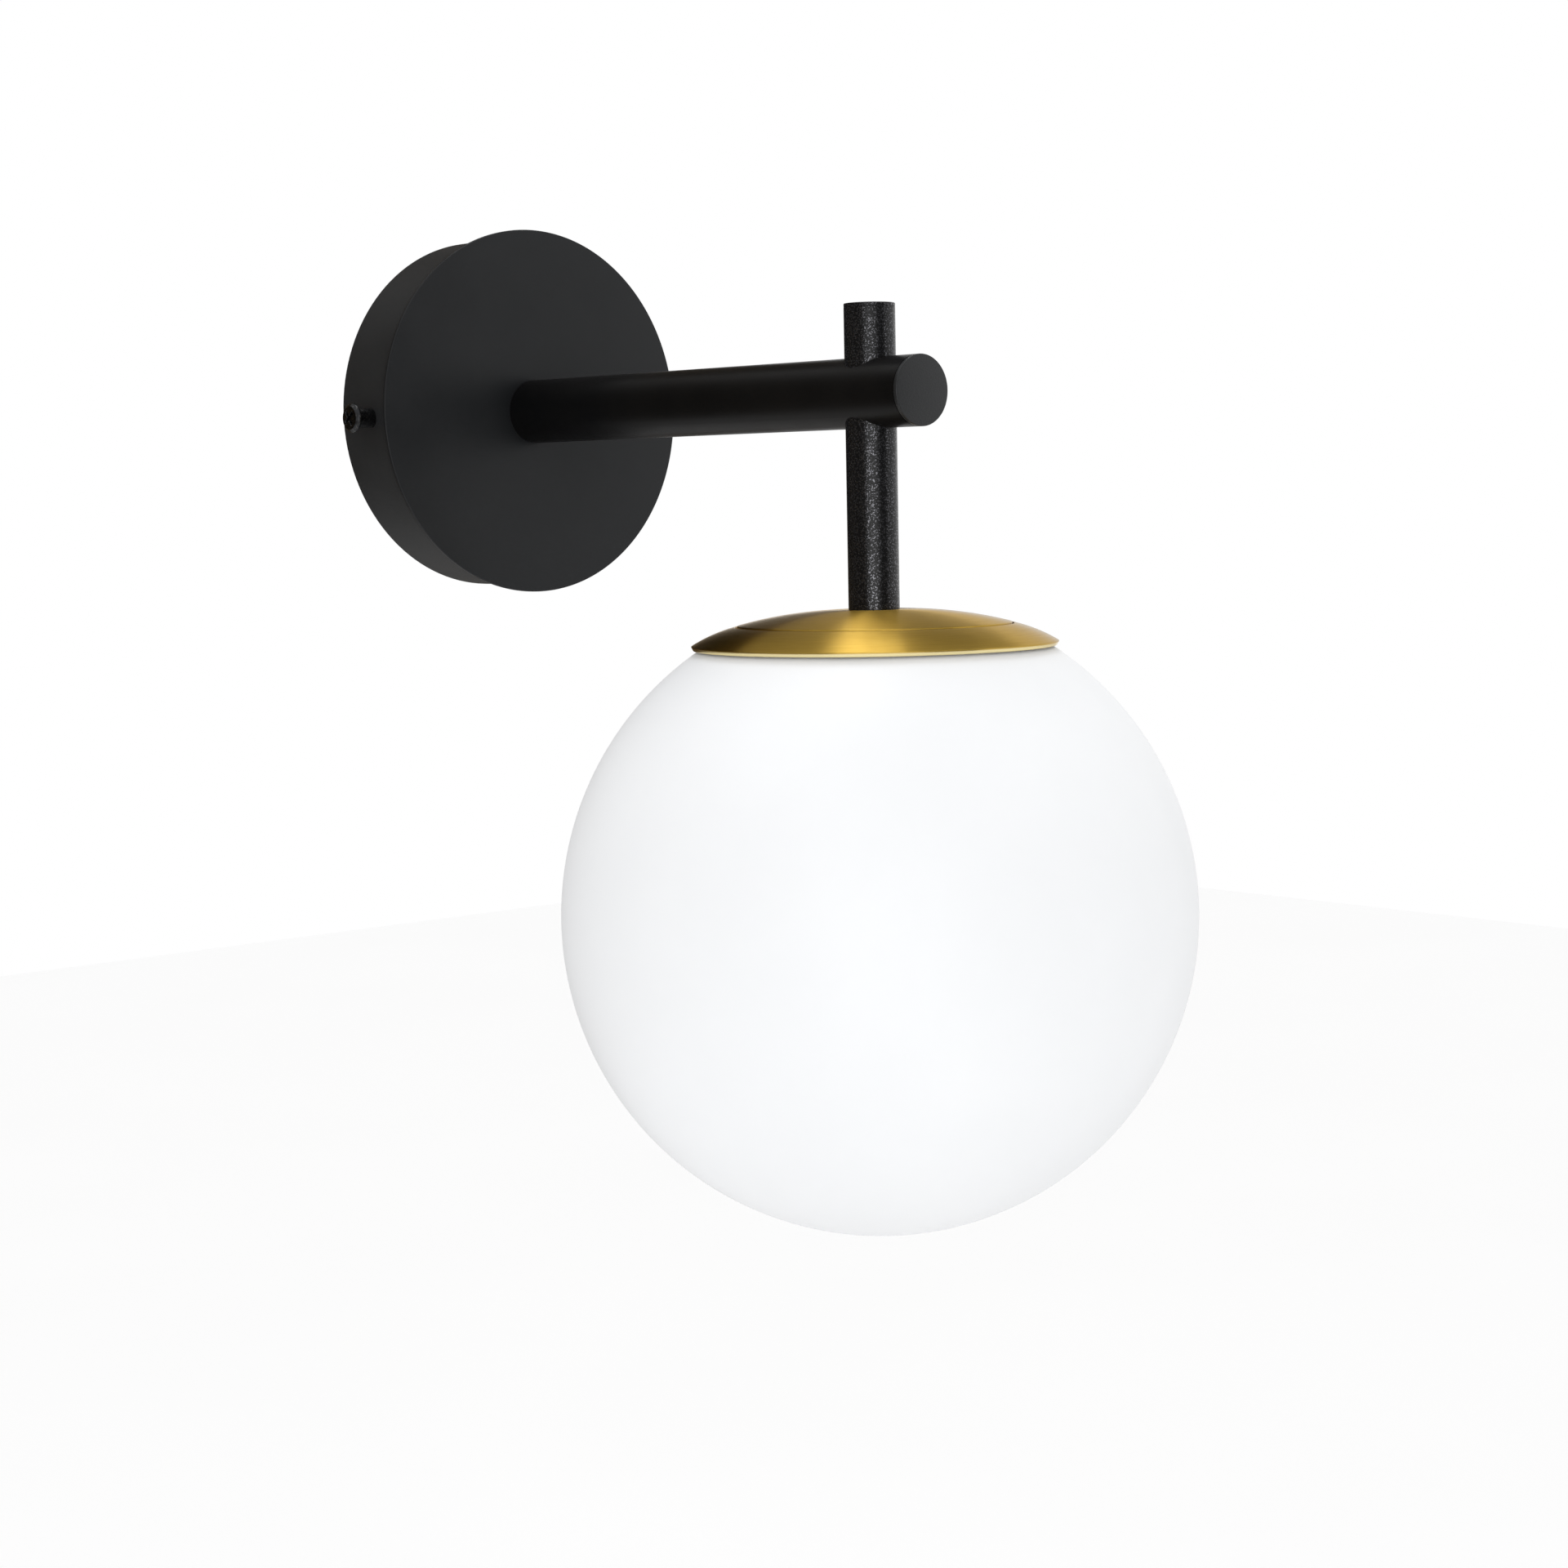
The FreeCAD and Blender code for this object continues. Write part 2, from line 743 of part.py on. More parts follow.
def globe_arc(half_width, half_height, top_z):
    """Arc of the globe's ellipse from a height down to its foot, on its right side."""
    ellipse = Part.Ellipse(at(0, 0, globe_centre_z + half_height),
                           at(half_width, 0, globe_centre_z), at(0, 0, globe_centre_z))
    start = math.acos((top_z - globe_centre_z) / half_height)
    return Part.ArcOfEllipse(ellipse, start, math.pi).toShape()


def globe_glass():
    """Blown opal globe, open at the top, with a flat shoulder inside the lip and a short neck."""
    inner_half_width = globe_r - glass_t
    inner_half_height = globe_half_height - glass_t
    inner_shoulder_z = shoulder_z - glass_t
    inner_rise = (inner_shoulder_z - globe_centre_z) / inner_half_height
    inner_shoulder_r = inner_half_width * math.sqrt(1 - inner_rise ** 2)
    neck_top_z = shoulder_z + neck_height
    neck_inner_r = neck_r - neck_wall
    outer_pole = globe_centre_z - globe_half_height
    inner_pole = globe_centre_z - inner_half_height
    outer = globe_arc(globe_r, globe_half_height, shoulder_z)
    inner = globe_arc(inner_half_width, inner_half_height, inner_shoulder_z)
    corners = [
        (shoulder_r, shoulder_z),
        (neck_r, shoulder_z),
        (neck_r, neck_top_z),
        (neck_inner_r, neck_top_z),
        (neck_inner_r, inner_shoulder_z),
        (inner_shoulder_r, inner_shoulder_z),
    ]
    edges = [outer, inner]
    for start, end in zip(corners, corners[1:]):
        edges.append(Part.LineSegment(at(start[0], 0, start[1]), at(end[0], 0, end[1])).toShape())
    edges.append(Part.LineSegment(at(0, 0, outer_pole), at(0, 0, inner_pole)).toShape())
    face = Part.Face(Part.Wire(Part.__sortEdges__(edges)))
    return on_lamp_axis(face.revolve(at(0, 0, 0), up, full_turn))


# Lampholder

def holder_cap():
    """Upper half of the lampholder, screwed on the nipple."""
    neck = holder_neck_d / 2
    neck_z = holder_top_z - holder_neck_height
    thread_end_z = holder_top_z - holder_thread_depth
    dome_z = holder_top_z - holder_dome_drop
    inner_z = dome_z - holder_inner_rise
    shape = on_lamp_axis(lathe([
        (nipple_r, holder_top_z),
        (neck, holder_top_z),
        (neck, neck_z),
        (bulged((neck, neck_z), (holder_r, dome_z), holder_wall), (holder_r, dome_z)),
        (holder_r, holder_joint_z),
        (holder_bore_r, holder_joint_z),
        (holder_bore_r, inner_z),
        (bulged((neck, thread_end_z), (holder_bore_r, inner_z), holder_wall),
         (neck, thread_end_z)),
        (nipple_r, thread_end_z),
    ]))
    return shape.cut(rod(holder_grub_d / 2, grub_place(0), grub_place(holder_neck_d)))


def grub_place(x):
    """Point on the axis of the locking screw."""
    return lamp_axis + at(x, 0, holder_top_z - holder_grub_drop)


def holder_grub_screw():
    """Locking screw that stops the lampholder from turning on the nipple."""
    return rod(holder_grub_d / 2, grub_place(nipple_r), grub_place(holder_neck_d / 2))


def holder_core():
    """Ceramic disc that carries the contacts."""
    start = lamp_axis + up * holder_joint_z
    end = lamp_axis + up * core_under_z
    return rod(holder_bore_r, start, end)


def holder_shell():
    """Lower skirt of the lampholder with its inward lip."""
    return on_lamp_axis(lathe([
        (holder_r, holder_joint_z),
        (holder_r, holder_mouth_z),
        (holder_lip_bore_d / 2, holder_mouth_z),
        (holder_lip_bore_d / 2, holder_mouth_z + holder_lip_t),
        (holder_bore_r, holder_mouth_z + holder_lip_t),
        (holder_bore_r, holder_joint_z),
    ]))


def holder_screw_shell():
    """Thread sleeve that takes the bulb's base."""
    bore = screw_shell_bore_d / 2
    start = lamp_axis + up * core_under_z
    end = lamp_axis + up * (holder_mouth_z + holder_lip_t)
    return pipe(bore + screw_shell_wall, bore, start, end)


def holder_contact():
    """Centre contact: a leaf with a button."""
    leaf_end = core_under_z - contact_leaf_t
    leaf = rod(contact_d / 2, lamp_axis + up * core_under_z, lamp_axis + up * leaf_end)
    button = rod(contact_button_d / 2, lamp_axis + up * leaf_end, lamp_axis + up * contact_end_z)
    return leaf.fuse(button).removeSplitter()


def clamp_screw_rod(side, radius, start_x, end_x):
    """Rod along the axis of a clamp's screw."""
    place = lamp_axis + up * (holder_joint_z + clamp_height / 2)
    return rod(radius, place + right * (side * start_x), place + right * (side * end_x))


def holder_clamps():
    """Two brass clamps on the core, each bored for its wire."""
    clamps = []
    for side in (-1, 1):
        middle = lamp_axis + at(side * clamp_x, 0, holder_joint_z)
        half = at(clamp_width / 2, clamp_depth / 2, 0)
        body = block(middle - half, middle + half + up * clamp_height)
        top = middle + up * clamp_height
        body = body.cut(rod(clamp_bore_d / 2, top + down * clamp_bore_depth, top + up * overrun))
        outer_x = clamp_x + clamp_width / 2 + overrun
        body = body.cut(clamp_screw_rod(side, clamp_screw_d / 2, clamp_x + wire_r, outer_x))
        clamps.append(body)
    return Part.makeCompound(clamps)


def holder_clamp_screws():
    """The screw of each clamp."""
    screws = []
    for side in (-1, 1):
        face_x = clamp_x + clamp_width / 2
        length = clamp_width / 2 - wire_r
        screw = pan_screw(clamp_screw_d, clamp_head_d, clamp_head_h, length)
        place = lamp_axis + at(side * face_x, 0, holder_joint_z + clamp_height / 2)
        screws.append(aimed(screw, right * side, place))
    return Part.makeCompound(screws)


# Bulb

def bulb_tip():
    """Centre contact of the bulb."""
    start = lamp_axis + up * bulb_top_z
    return rod(bulb_tip_d / 2, start, start + down * bulb_tip_t)


def bulb_insulator():
    """Black glass cone between the tip and the screw base."""
    return on_lamp_axis(lathe([
        (0, bulb_insulator_top_z),
        (bulb_tip_d / 2, bulb_insulator_top_z),
        (bulb_insulator_d / 2, bulb_base_top_z),
        (0, bulb_base_top_z),
    ]))


def bulb_screw_base():
    """Metal shell of the bulb's base."""
    outer = bulb_base_d / 2
    inner = outer - bulb_base_wall
    return on_lamp_axis(lathe([
        (0, bulb_base_top_z),
        (bulb_insulator_d / 2, bulb_base_top_z),
        (outer, bulb_base_top_z - bulb_base_chamfer),
        (outer, bulb_base_end_z),
        (inner, bulb_base_end_z),
        (inner, bulb_base_top_z - bulb_base_chamfer - bulb_base_wall),
        (0, bulb_base_top_z - bulb_base_chamfer - bulb_base_wall),
    ]))


def bulb_body():
    """Plastic body of the bulb: a hollow stem in the base and a widening bell."""
    stem_r = bulb_base_d / 2 - bulb_base_wall
    stem_top_z = bulb_base_top_z - bulb_base_chamfer - bulb_base_wall
    neck = bulb_neck_d / 2
    collar_z = bulb_base_end_z - bulb_collar_h
    return on_lamp_axis(lathe([
        (stem_r, stem_top_z),
        (stem_r, bulb_base_end_z),
        (neck, bulb_base_end_z),
        (neck, collar_z),
        (bulged((neck, collar_z), (bulb_body_r, bulb_body_end_z), bulb_body_wall),
         (bulb_body_r, bulb_body_end_z)),
        (bulb_body_r - bulb_body_wall, bulb_body_end_z),
        (bulged((bulb_body_r - bulb_body_wall, bulb_body_end_z),
                (stem_r - bulb_body_wall, collar_z), -bulb_body_wall),
         (stem_r - bulb_body_wall, collar_z)),
        (stem_r - bulb_body_wall, stem_top_z),
    ]))


def bulb_diffuser():
    """Round plastic diffuser of the bulb."""
    inner_r = bulb_globe_r - bulb_globe_wall
    rim_height = bulb_body_end_z - bulb_globe_z
    inner_rim = math.sqrt(inner_r ** 2 - rim_height ** 2)
    return on_lamp_axis(lathe([
        (bulb_body_r, bulb_body_end_z),
        ((bulb_globe_r, bulb_globe_z), (0, bulb_globe_z - bulb_globe_r)),
        (0, bulb_globe_z - inner_r),
        ((inner_r, bulb_globe_z), (inner_rim, bulb_body_end_z)),
    ]))


# Terminal block

def pole_places():
    """X places of the three poles."""
    return [pole_pitch * k for k in (-1, 0, 1)]


def terminal_block():
    """Plastic block with bores for the sleeves and wells for their screws."""
    half = block_width / 2
    high_z = block_low_z + block_height
    body = block(at(-half, disc_back_y, block_low_z), at(half, block_back_y, high_z))
    edges = [edge for edge in body.Edges if edge.BoundBox.YLength > block_depth / 2]
    body = body.makeFillet(block_edge_round, edges)
    for x in pole_places():
        body = body.cut(hole(sleeve_d / 2, at(x, pole_y, block_low_z), at(x, pole_y, high_z)))
        for z in block_screw_places():
            body = body.cut(rod(block_screw_d / 2, at(x, pole_y, z), at(x, block_back_y + overrun, z)))
    stud_x = pole_pitch / 2
    stud_hole = hole(block_stud_d / 2, at(stud_x, disc_back_y, block_centre_z),
                     at(stud_x, block_back_y, block_centre_z))
    return body.cut(stud_hole)


def block_screw_places():
    """Heights of the two screws of each pole."""
    return [block_centre_z - block_screw_offset, block_centre_z + block_screw_offset]


def terminal_sleeves():
    """Brass sleeves, one for each pole."""
    sleeves = []
    high_z = block_low_z + block_height
    for x in pole_places():
        sleeve = pipe(sleeve_d / 2, sleeve_bore_d / 2, at(x, pole_y, block_low_z), at(x, pole_y, high_z))
        for z in block_screw_places():
            sleeve = sleeve.cut(rod(block_screw_d / 2, at(x, pole_y, z), at(x, block_back_y, z)))
        sleeves.append(sleeve)
    return Part.makeCompound(sleeves)


def terminal_screws():
    """Two clamping screws for each pole."""
    screws = []
    for x in pole_places():
        for z in block_screw_places():
            start = at(x, pole_y + wire_r, z)
            end = at(x, block_back_y - block_screw_sink, z)
            screws.append(rod(block_screw_d / 2, start, end))
    return Part.makeCompound(screws)


def terminal_stud():
    """Stud welded to the disc that holds the block."""
    x = pole_pitch / 2
    end_y = block_back_y + block_nut_t + block_stud_stand
    return rod(block_stud_d / 2, at(x, disc_back_y, block_centre_z), at(x, end_y, block_centre_z))


def terminal_nut():
    """Nut on the block's stud."""
    x = pole_pitch / 2
    start = at(x, block_back_y, block_centre_z)
    return hex_nut(block_nut_flats, block_stud_d / 2, start, start + inward * block_nut_t)


# Earth stud

def earth_stud():
    """Stud welded to the disc for the earth wire."""
    start = at(earth_stud_x, disc_back_y, earth_stud_z)
    return rod(earth_stud_d / 2, start, start + inward * earth_stud_length)


def tag_barrel_start():
    """Centre of the mouth of the tag's barrel."""
    lift = tag_barrel_d / 2 + tag_barrel_gap
    x = earth_stud_x - tag_ring_d / 2 - tag_barrel_length
    return at(x, disc_back_y + lift, earth_stud_z)


def earth_tag():
    """Ring tag with a crimped barrel for the earth wire."""
    seat = at(earth_stud_x, disc_back_y, earth_stud_z)
    ring = rod(tag_ring_d / 2, seat, seat + inward * tag_t)
    mouth = tag_barrel_start()
    root = mouth + right * (tag_barrel_length + tag_t)
    barrel = pipe(tag_barrel_d / 2, tag_barrel_bore_d / 2, mouth, root - right * tag_t)
    tongue_half = tag_barrel_d / 2
    tongue_low = at(root.x - tag_t * 2, disc_back_y, earth_stud_z - tongue_half)
    tongue_high = at(earth_stud_x, disc_back_y + tag_t, earth_stud_z + tongue_half)
    tag = ring.fuse(block(tongue_low, tongue_high)).fuse(barrel).removeSplitter()
    return tag.cut(hole(earth_stud_d / 2, seat, seat + inward * tag_t))


def earth_nut():
    """Nut that clamps the earth tag."""
    start = at(earth_stud_x, disc_back_y + tag_t, earth_stud_z)
    return hex_nut(earth_nut_flats, earth_stud_d / 2, start, start + inward * earth_nut_t)


# Wires

def lamp_wire(side, pole_x):
    """Wire from a pole, through the arm and the drop tube, to a clamp of the lampholder."""
    x = side * wire_side
    clamp_top_z = holder_joint_z + clamp_height
    turn_z = head_nipple_end_z - wire_below_nipple
    points = [
        at(pole_x, pole_y, block_low_z + wire_in_block),
        at(pole_x, pole_y, block_low_z - wire_below_block),
        at(side * wire_spread, -wire_from_wall, wire_high_z),
        at(x, -wire_from_wall, 0),
        at(x, -arm_reach, 0),
        at(x, -arm_reach, turn_z),
        at(side * clamp_x, -arm_reach, clamp_top_z + wire_above_clamp),
        at(side * clamp_x, -arm_reach, clamp_top_z - wire_in_block),
    ]
    return wire(points, {4: drop_bore_r - thread_gap})


def live_wire():
    """Brown wire."""
    return lamp_wire(-1, -pole_pitch)


def neutral_wire():
    """Blue wire."""
    return lamp_wire(1, 0)


def earth_wire():
    """Green and yellow wire from its pole to the earth tag."""
    mouth = tag_barrel_start()
    bend_z = block_low_z - earth_wire_below_block
    points = [
        at(pole_pitch, pole_y, block_low_z + wire_in_block),
        at(pole_pitch, pole_y, bend_z),
        at(pole_pitch + earth_wire_step, mouth.y, mouth.z),
        mouth + right * wire_in_block,
    ]
    return wire(points)


pieces = {
    "wall_bracket": wall_bracket(),
    "bracket_earth_screw": bracket_earth_screw(),
    "bracket_earth_washer": bracket_earth_washer(),
    "canopy_front_disc": canopy_disc(),
    "canopy_ring": canopy_ring(),
    "canopy_screw_bosses": canopy_screw_bosses(),
    "left_screw_washer": side_washer(-1),
    "right_screw_washer": side_washer(1),
    "left_canopy_screw": side_screw(-1),
    "right_canopy_screw": side_screw(1),
    "arm_tube": arm_tube(),
    "arm_end_cap": arm_end_cap(),
    "arm_root_plug": arm_root_plug(),
    "canopy_nipple": canopy_nipple(),
    "canopy_lock_washer": canopy_lock_washer(),
    "canopy_nut": canopy_nut(),
    "drop_tube": drop_tube(),
    "drop_tube_cap": drop_tube_cap(),
    "drop_tube_insert": drop_tube_insert(),
    "brass_dome": brass_dome(),
    "head_nipple": head_nipple(),
    "head_washer": head_washer(),
    "head_lock_washer": head_lock_washer(),
    "head_nut": head_nut(),
    "brass_skirt": brass_skirt(),
    "skirt_gasket": skirt_gasket(),
    "globe_glass": globe_glass(),
    "holder_cap": holder_cap(),
    "holder_grub_screw": holder_grub_screw(),
    "holder_core": holder_core(),
    "holder_shell": holder_shell(),
    "holder_screw_shell": holder_screw_shell(),
    "holder_contact": holder_contact(),
    "holder_clamps": holder_clamps(),
    "holder_clamp_screws": holder_clamp_screws(),
    "bulb_tip": bulb_tip(),
    "bulb_insulator": bulb_insulator(),
    "bulb_screw_base": bulb_screw_base(),
    "bulb_body": bulb_body(),
    "bulb_diffuser": bulb_diffuser(),
    "terminal_block": terminal_block(),
    "terminal_sleeves": terminal_sleeves(),
    "terminal_screws": terminal_screws(),
    "terminal_stud": terminal_stud(),
    "terminal_nut": terminal_nut(),
    "earth_stud": earth_stud(),
    "earth_tag": earth_tag(),
    "earth_nut": earth_nut(),
    "live_wire": live_wire(),
    "neutral_wire": neutral_wire(),
    "earth_wire": earth_wire(),
}

for name, shape in pieces.items():
    shape.exportStep("parts/" + name + ".step")
    print(name, "solids", len(shape.Solids), "volume", round(shape.Volume, 2), shape.isValid())
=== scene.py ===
import math

import bmesh
import bpy
import numpy as np
from mathutils import Euler, Matrix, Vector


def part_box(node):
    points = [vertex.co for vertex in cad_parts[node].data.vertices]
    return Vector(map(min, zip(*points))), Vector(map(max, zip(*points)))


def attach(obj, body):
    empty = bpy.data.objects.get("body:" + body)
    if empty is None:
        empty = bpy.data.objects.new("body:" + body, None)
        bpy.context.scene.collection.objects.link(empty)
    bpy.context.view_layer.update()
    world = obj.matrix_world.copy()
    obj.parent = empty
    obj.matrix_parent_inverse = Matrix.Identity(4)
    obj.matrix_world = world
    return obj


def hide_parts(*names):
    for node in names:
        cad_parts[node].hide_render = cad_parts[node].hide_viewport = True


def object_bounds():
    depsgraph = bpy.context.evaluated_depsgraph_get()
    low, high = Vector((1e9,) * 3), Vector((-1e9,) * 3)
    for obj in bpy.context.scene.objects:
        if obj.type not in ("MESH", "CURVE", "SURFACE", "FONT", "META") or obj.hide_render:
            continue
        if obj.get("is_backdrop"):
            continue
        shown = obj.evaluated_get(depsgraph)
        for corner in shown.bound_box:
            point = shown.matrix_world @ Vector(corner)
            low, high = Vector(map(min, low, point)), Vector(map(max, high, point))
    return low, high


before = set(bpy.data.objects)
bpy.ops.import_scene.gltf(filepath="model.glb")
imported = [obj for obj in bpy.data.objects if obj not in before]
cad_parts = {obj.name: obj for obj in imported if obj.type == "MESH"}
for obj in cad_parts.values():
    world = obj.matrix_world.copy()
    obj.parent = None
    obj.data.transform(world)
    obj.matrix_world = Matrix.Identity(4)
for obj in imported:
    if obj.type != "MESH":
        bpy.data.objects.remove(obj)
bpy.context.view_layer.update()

# Wall bracket
# A strap of zinc-plated sheet steel, blanked and bent on a press, with two slots for wall
# screws and two ears that stand inside the canopy.

bracket_zinc = (0.56, 0.57, 0.59)
bracket_zinc_warm = (0.66, 0.65, 0.60)
zinc_crystal = 0.0035
zinc_grain = 0.0004
zinc_grain_depth = 0.000015


def new_finish(name, metallic, roughness, specular=0.5):
    """A material with one Principled shader; gives the material, its node tree and the shader."""
    material = bpy.data.materials.new(name)
    material.use_nodes = True
    tree = material.node_tree
    shader = tree.nodes["Principled BSDF"]
    shader.inputs["Metallic"].default_value = metallic
    shader.inputs["Roughness"].default_value = roughness
    shader.inputs["Specular IOR Level"].default_value = specular
    return material, tree, shader


def add(tree, kind, inputs=(), **settings):
    """A new shader node; inputs pairs a socket's name or number with a value or with an output."""
    made = tree.nodes.new("ShaderNode" + kind)
    for name, value in settings.items():
        setattr(made, name, value)
    for key, value in inputs:
        if isinstance(value, bpy.types.NodeSocket):
            tree.links.new(value, made.inputs[key])
        else:
            made.inputs[key].default_value = value
    return made


def object_place(tree, centre=(0, 0, 0)):
    """Object coordinates, measured from a centre."""
    place = add(tree, "TexCoord").outputs["Object"]
    move = [-value for value in centre]
    return add(tree, "Mapping", [("Vector", place), ("Location", move)]).outputs["Vector"]


def grain(tree, place, size, detail=2.0, rough=0.5):
    """Noise whose lumps are about size across, in metres."""
    inputs = [("Vector", place), ("Scale", 1 / size), ("Detail", detail), ("Roughness", rough)]
    return add(tree, "TexNoise", inputs).outputs["Fac"]


def spread(tree, value, low, high, start=0.3, end=0.7):
    """A number that goes from low to high as the value goes from start to end."""
    inputs = [("Value", value), ("From Min", start), ("From Max", end), ("To Min", low), ("To Max", high)]
    return add(tree, "MapRange", inputs).outputs["Result"]


def blend_colours(tree, share, first, second):
    """First colour where the share is 0, second where it is 1."""
    mix = add(tree, "Mix", [("Factor", share)], data_type="RGBA")
    for socket, colour in ((mix.inputs[6], first), (mix.inputs[7], second)):
        if isinstance(colour, bpy.types.NodeSocket):
            tree.links.new(colour, socket)
        else:
            socket.default_value = (*colour, 1.0)
    return mix.outputs[2]


def feed(tree, shader, colour, roughness, height, depth):
    """Gives a shader its colour, its roughness, and bumps of a depth in metres."""
    bump = add(tree, "Bump", [("Height", height), ("Distance", depth), ("Strength", 1.0)])
    tree.links.new(colour, shader.inputs["Base Color"])
    tree.links.new(roughness, shader.inputs["Roughness"])
    tree.links.new(bump.outputs["Normal"], shader.inputs["Normal"])


def zinc_finish():
    """Zinc plate: crystals a few millimetres wide that differ in tone and shine, under fine grain."""
    material, tree, shader = new_finish("zinc_plate", 1.0, 0.4)
    place = object_place(tree)
    crystal = add(tree, "TexVoronoi", [("Vector", place), ("Scale", 1 / zinc_crystal)])
    grey = add(tree, "RGBToBW", [("Color", crystal.outputs["Color"])]).outputs[0]
    tone = spread(tree, grey, 0, 1, 0.1, 0.9)
    feed(tree, shader, blend_colours(tree, tone, bracket_zinc, bracket_zinc_warm),
         spread(tree, tone, 0.34, 0.46, 0, 1), grain(tree, place, zinc_grain), zinc_grain_depth)
    return material


def dress(material, *names):
    """Gives this material to nodes that keep their own mesh."""
    for name in names:
        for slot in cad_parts[name].material_slots:
            slot.material = material


zinc = zinc_finish()
dress(zinc, "wall_bracket")

# Earth screw of the bracket
# A brass pan head screw with a cross recess over a stamped brass cup washer. It is turned
# from bar, its recess is punched, and it clamps the supply's earth conductor.

brass_bare = (0.62, 0.44, 0.19)
brass_bare_dull = (0.48, 0.33, 0.14)
earth_head_r = 0.004
earth_head_h = 0.0024
earth_thread_r = 0.0019
earth_shank = 0.0029
small_pitch = 0.0007
screw_turns = 120
least_turn = 0.25
sharp_angle = 0.7
tiny = 1e-7


def clouds(tree, place, noise):
    """Share of the second tone in soft clouds."""
    return spread(tree, noise, 0, 1)


def clouded(name, first, second, shine, cloud, relief, depth,
            metallic=0.0, specular=0.5, pattern=clouds, centre=(0, 0, 0)):
    """Two tones and a shine that varies in soft clouds, over a fine relief.

    shine holds the least and the greatest roughness, cloud and relief the size and detail of
    their noise, and pattern gives the share of the second tone.
    """
    material, tree, shader = new_finish(name, metallic, shine[0], specular)
    place = object_place(tree, centre)
    noise = grain(tree, place, *cloud)
    feed(tree, shader, blend_colours(tree, pattern(tree, place, noise), first, second),
         spread(tree, noise, *shine), grain(tree, place, *relief), depth)
    return material


def rounded(corners, radius, steps=4):
    """Outline through corners (radius, height), with an arc at each sharp one.

    An arc starts and ends at its radius times the tangent of half the turn from the corner,
    or at under half of the shorter run, and its points are turned about its centre in even
    steps. Corners on the axis, and those of a curve, which turn less than least_turn, stay.
    """
    corners = np.asarray(corners, float)
    before = corners - np.roll(corners, 1, 0)
    after = np.roll(corners, -1, 0) - corners
    shorter = np.minimum(np.linalg.norm(before, axis=1), np.linalg.norm(after, axis=1))
    into = before / np.linalg.norm(before, axis=1)[:, None]
    out = after / np.linalg.norm(after, axis=1)[:, None]
    turn = np.arctan2(into[:, 0] * out[:, 1] - into[:, 1] * out[:, 0], (into * out).sum(1))
    half = np.tan(np.abs(turn) / 2)
    sharp = (np.abs(turn) > least_turn) & (corners[:, 0] > tiny)
    reach = np.where(sharp, np.minimum(radius * half, 0.48 * shorter), 0)
    bend = reach / np.maximum(half, tiny)
    normal = np.stack([-into[:, 1], into[:, 0]], 1) * np.sign(turn)[:, None]
    centre = corners - into * reach[:, None] + normal * bend[:, None]
    angle = turn[:, None] * np.linspace(0, 1, steps + 1)
    x = -normal[:, :1] * np.cos(angle) + normal[:, 1:] * np.sin(angle)
    y = -normal[:, :1] * np.sin(angle) - normal[:, 1:] * np.cos(angle)
    points = centre[:, None] + bend[:, None, None] * np.stack([x, y], 2)
    points[~sharp] = corners[~sharp][:, None]
    points = points.reshape(-1, 2)
    gap = np.linalg.norm(points - np.roll(points, 1, 0), axis=1)
    return points[gap > tiny]


def add_mesh(name, points, faces, material):
    """Object from arrays of points and faces, merged where points meet, with faces outwards."""
    mesh = bpy.data.meshes.new(name)
    mesh.from_pydata(points.reshape(-1, 3).tolist(), [], faces)
    work = bmesh.new()
    work.from_mesh(mesh)
    bmesh.ops.remove_doubles(work, verts=work.verts, dist=tiny * 10)
    bmesh.ops.recalc_face_normals(work, faces=work.faces)
    work.to_mesh(mesh)
    work.free()
    mesh.shade_smooth()
    mesh.set_sharp_from_angle(angle=sharp_angle)
    mesh.materials.append(material)
    piece = bpy.data.objects.new(name, mesh)
    bpy.context.scene.collection.objects.link(piece)
    return piece


def grid_faces(rows, columns, rows_close, columns_close=True):
    """Four-sided faces between neighbouring rows and columns of a grid of points."""
    row = np.arange(rows if rows_close else rows - 1)[:, None]
    column = np.arange(columns if columns_close else columns - 1)[None, :]
    next_row = (row + 1) % rows
    next_column = (column + 1) % columns
    corners = [row * columns + column, row * columns + next_column,
               next_row * columns + next_column, next_row * columns + column]
    return np.stack(corners, 2).reshape(-1, 4).tolist()


def upright(radius, heights):
    """Outline points at one radius and many heights."""
    return np.stack([np.full_like(heights, radius), heights], 1)


def turned_points(outline, place, along, turns, shift=None):
    """Outline (radius, height) turned once round an axis through place.

    A point is the place, plus the height times the axis, plus the radius times the side turned
    by the angle. shift changes radius and height by the angle, as a thread or a recess does.
    """
    along = np.asarray(along, float)
    side = np.cross(along, (0.0, 0.6, 0.8) if abs(along[0]) > 0.5 else (1.0, 0.0, 0.0))
    side /= np.linalg.norm(side)
    other = np.cross(along, side)
    angle = np.linspace(0, 2 * math.pi, turns, endpoint=False)[None, :]
    radius = np.repeat(outline[:, :1], turns, 1)
    height = np.repeat(outline[:, 1:], turns, 1)
    if shift:
        radius, height = shift(radius, height, angle)
    around = side * np.cos(angle)[..., None] + other * np.sin(angle)[..., None]
    return np.asarray(place, float) + along * height[..., None] + around * radius[..., None]


def turned(name, outline, place, along, material, turns=160, shift=None):
    """Turned piece. Its outline is closed, or starts and ends on the axis."""
    open_ends = outline[0, 0] < tiny and outline[-1, 0] < tiny
    points = turned_points(outline, place, along, turns, shift)
    faces = grid_faces(len(outline), turns, not open_ends)
    return add_mesh(name, points, faces, material)


def smooth_rise(value, start, end):
    """0 before start, 1 after end, and three squares less two cubes of the share between."""
    share = np.clip((value - start) / (end - start), 0, 1)
    return share * share * (3 - 2 * share)


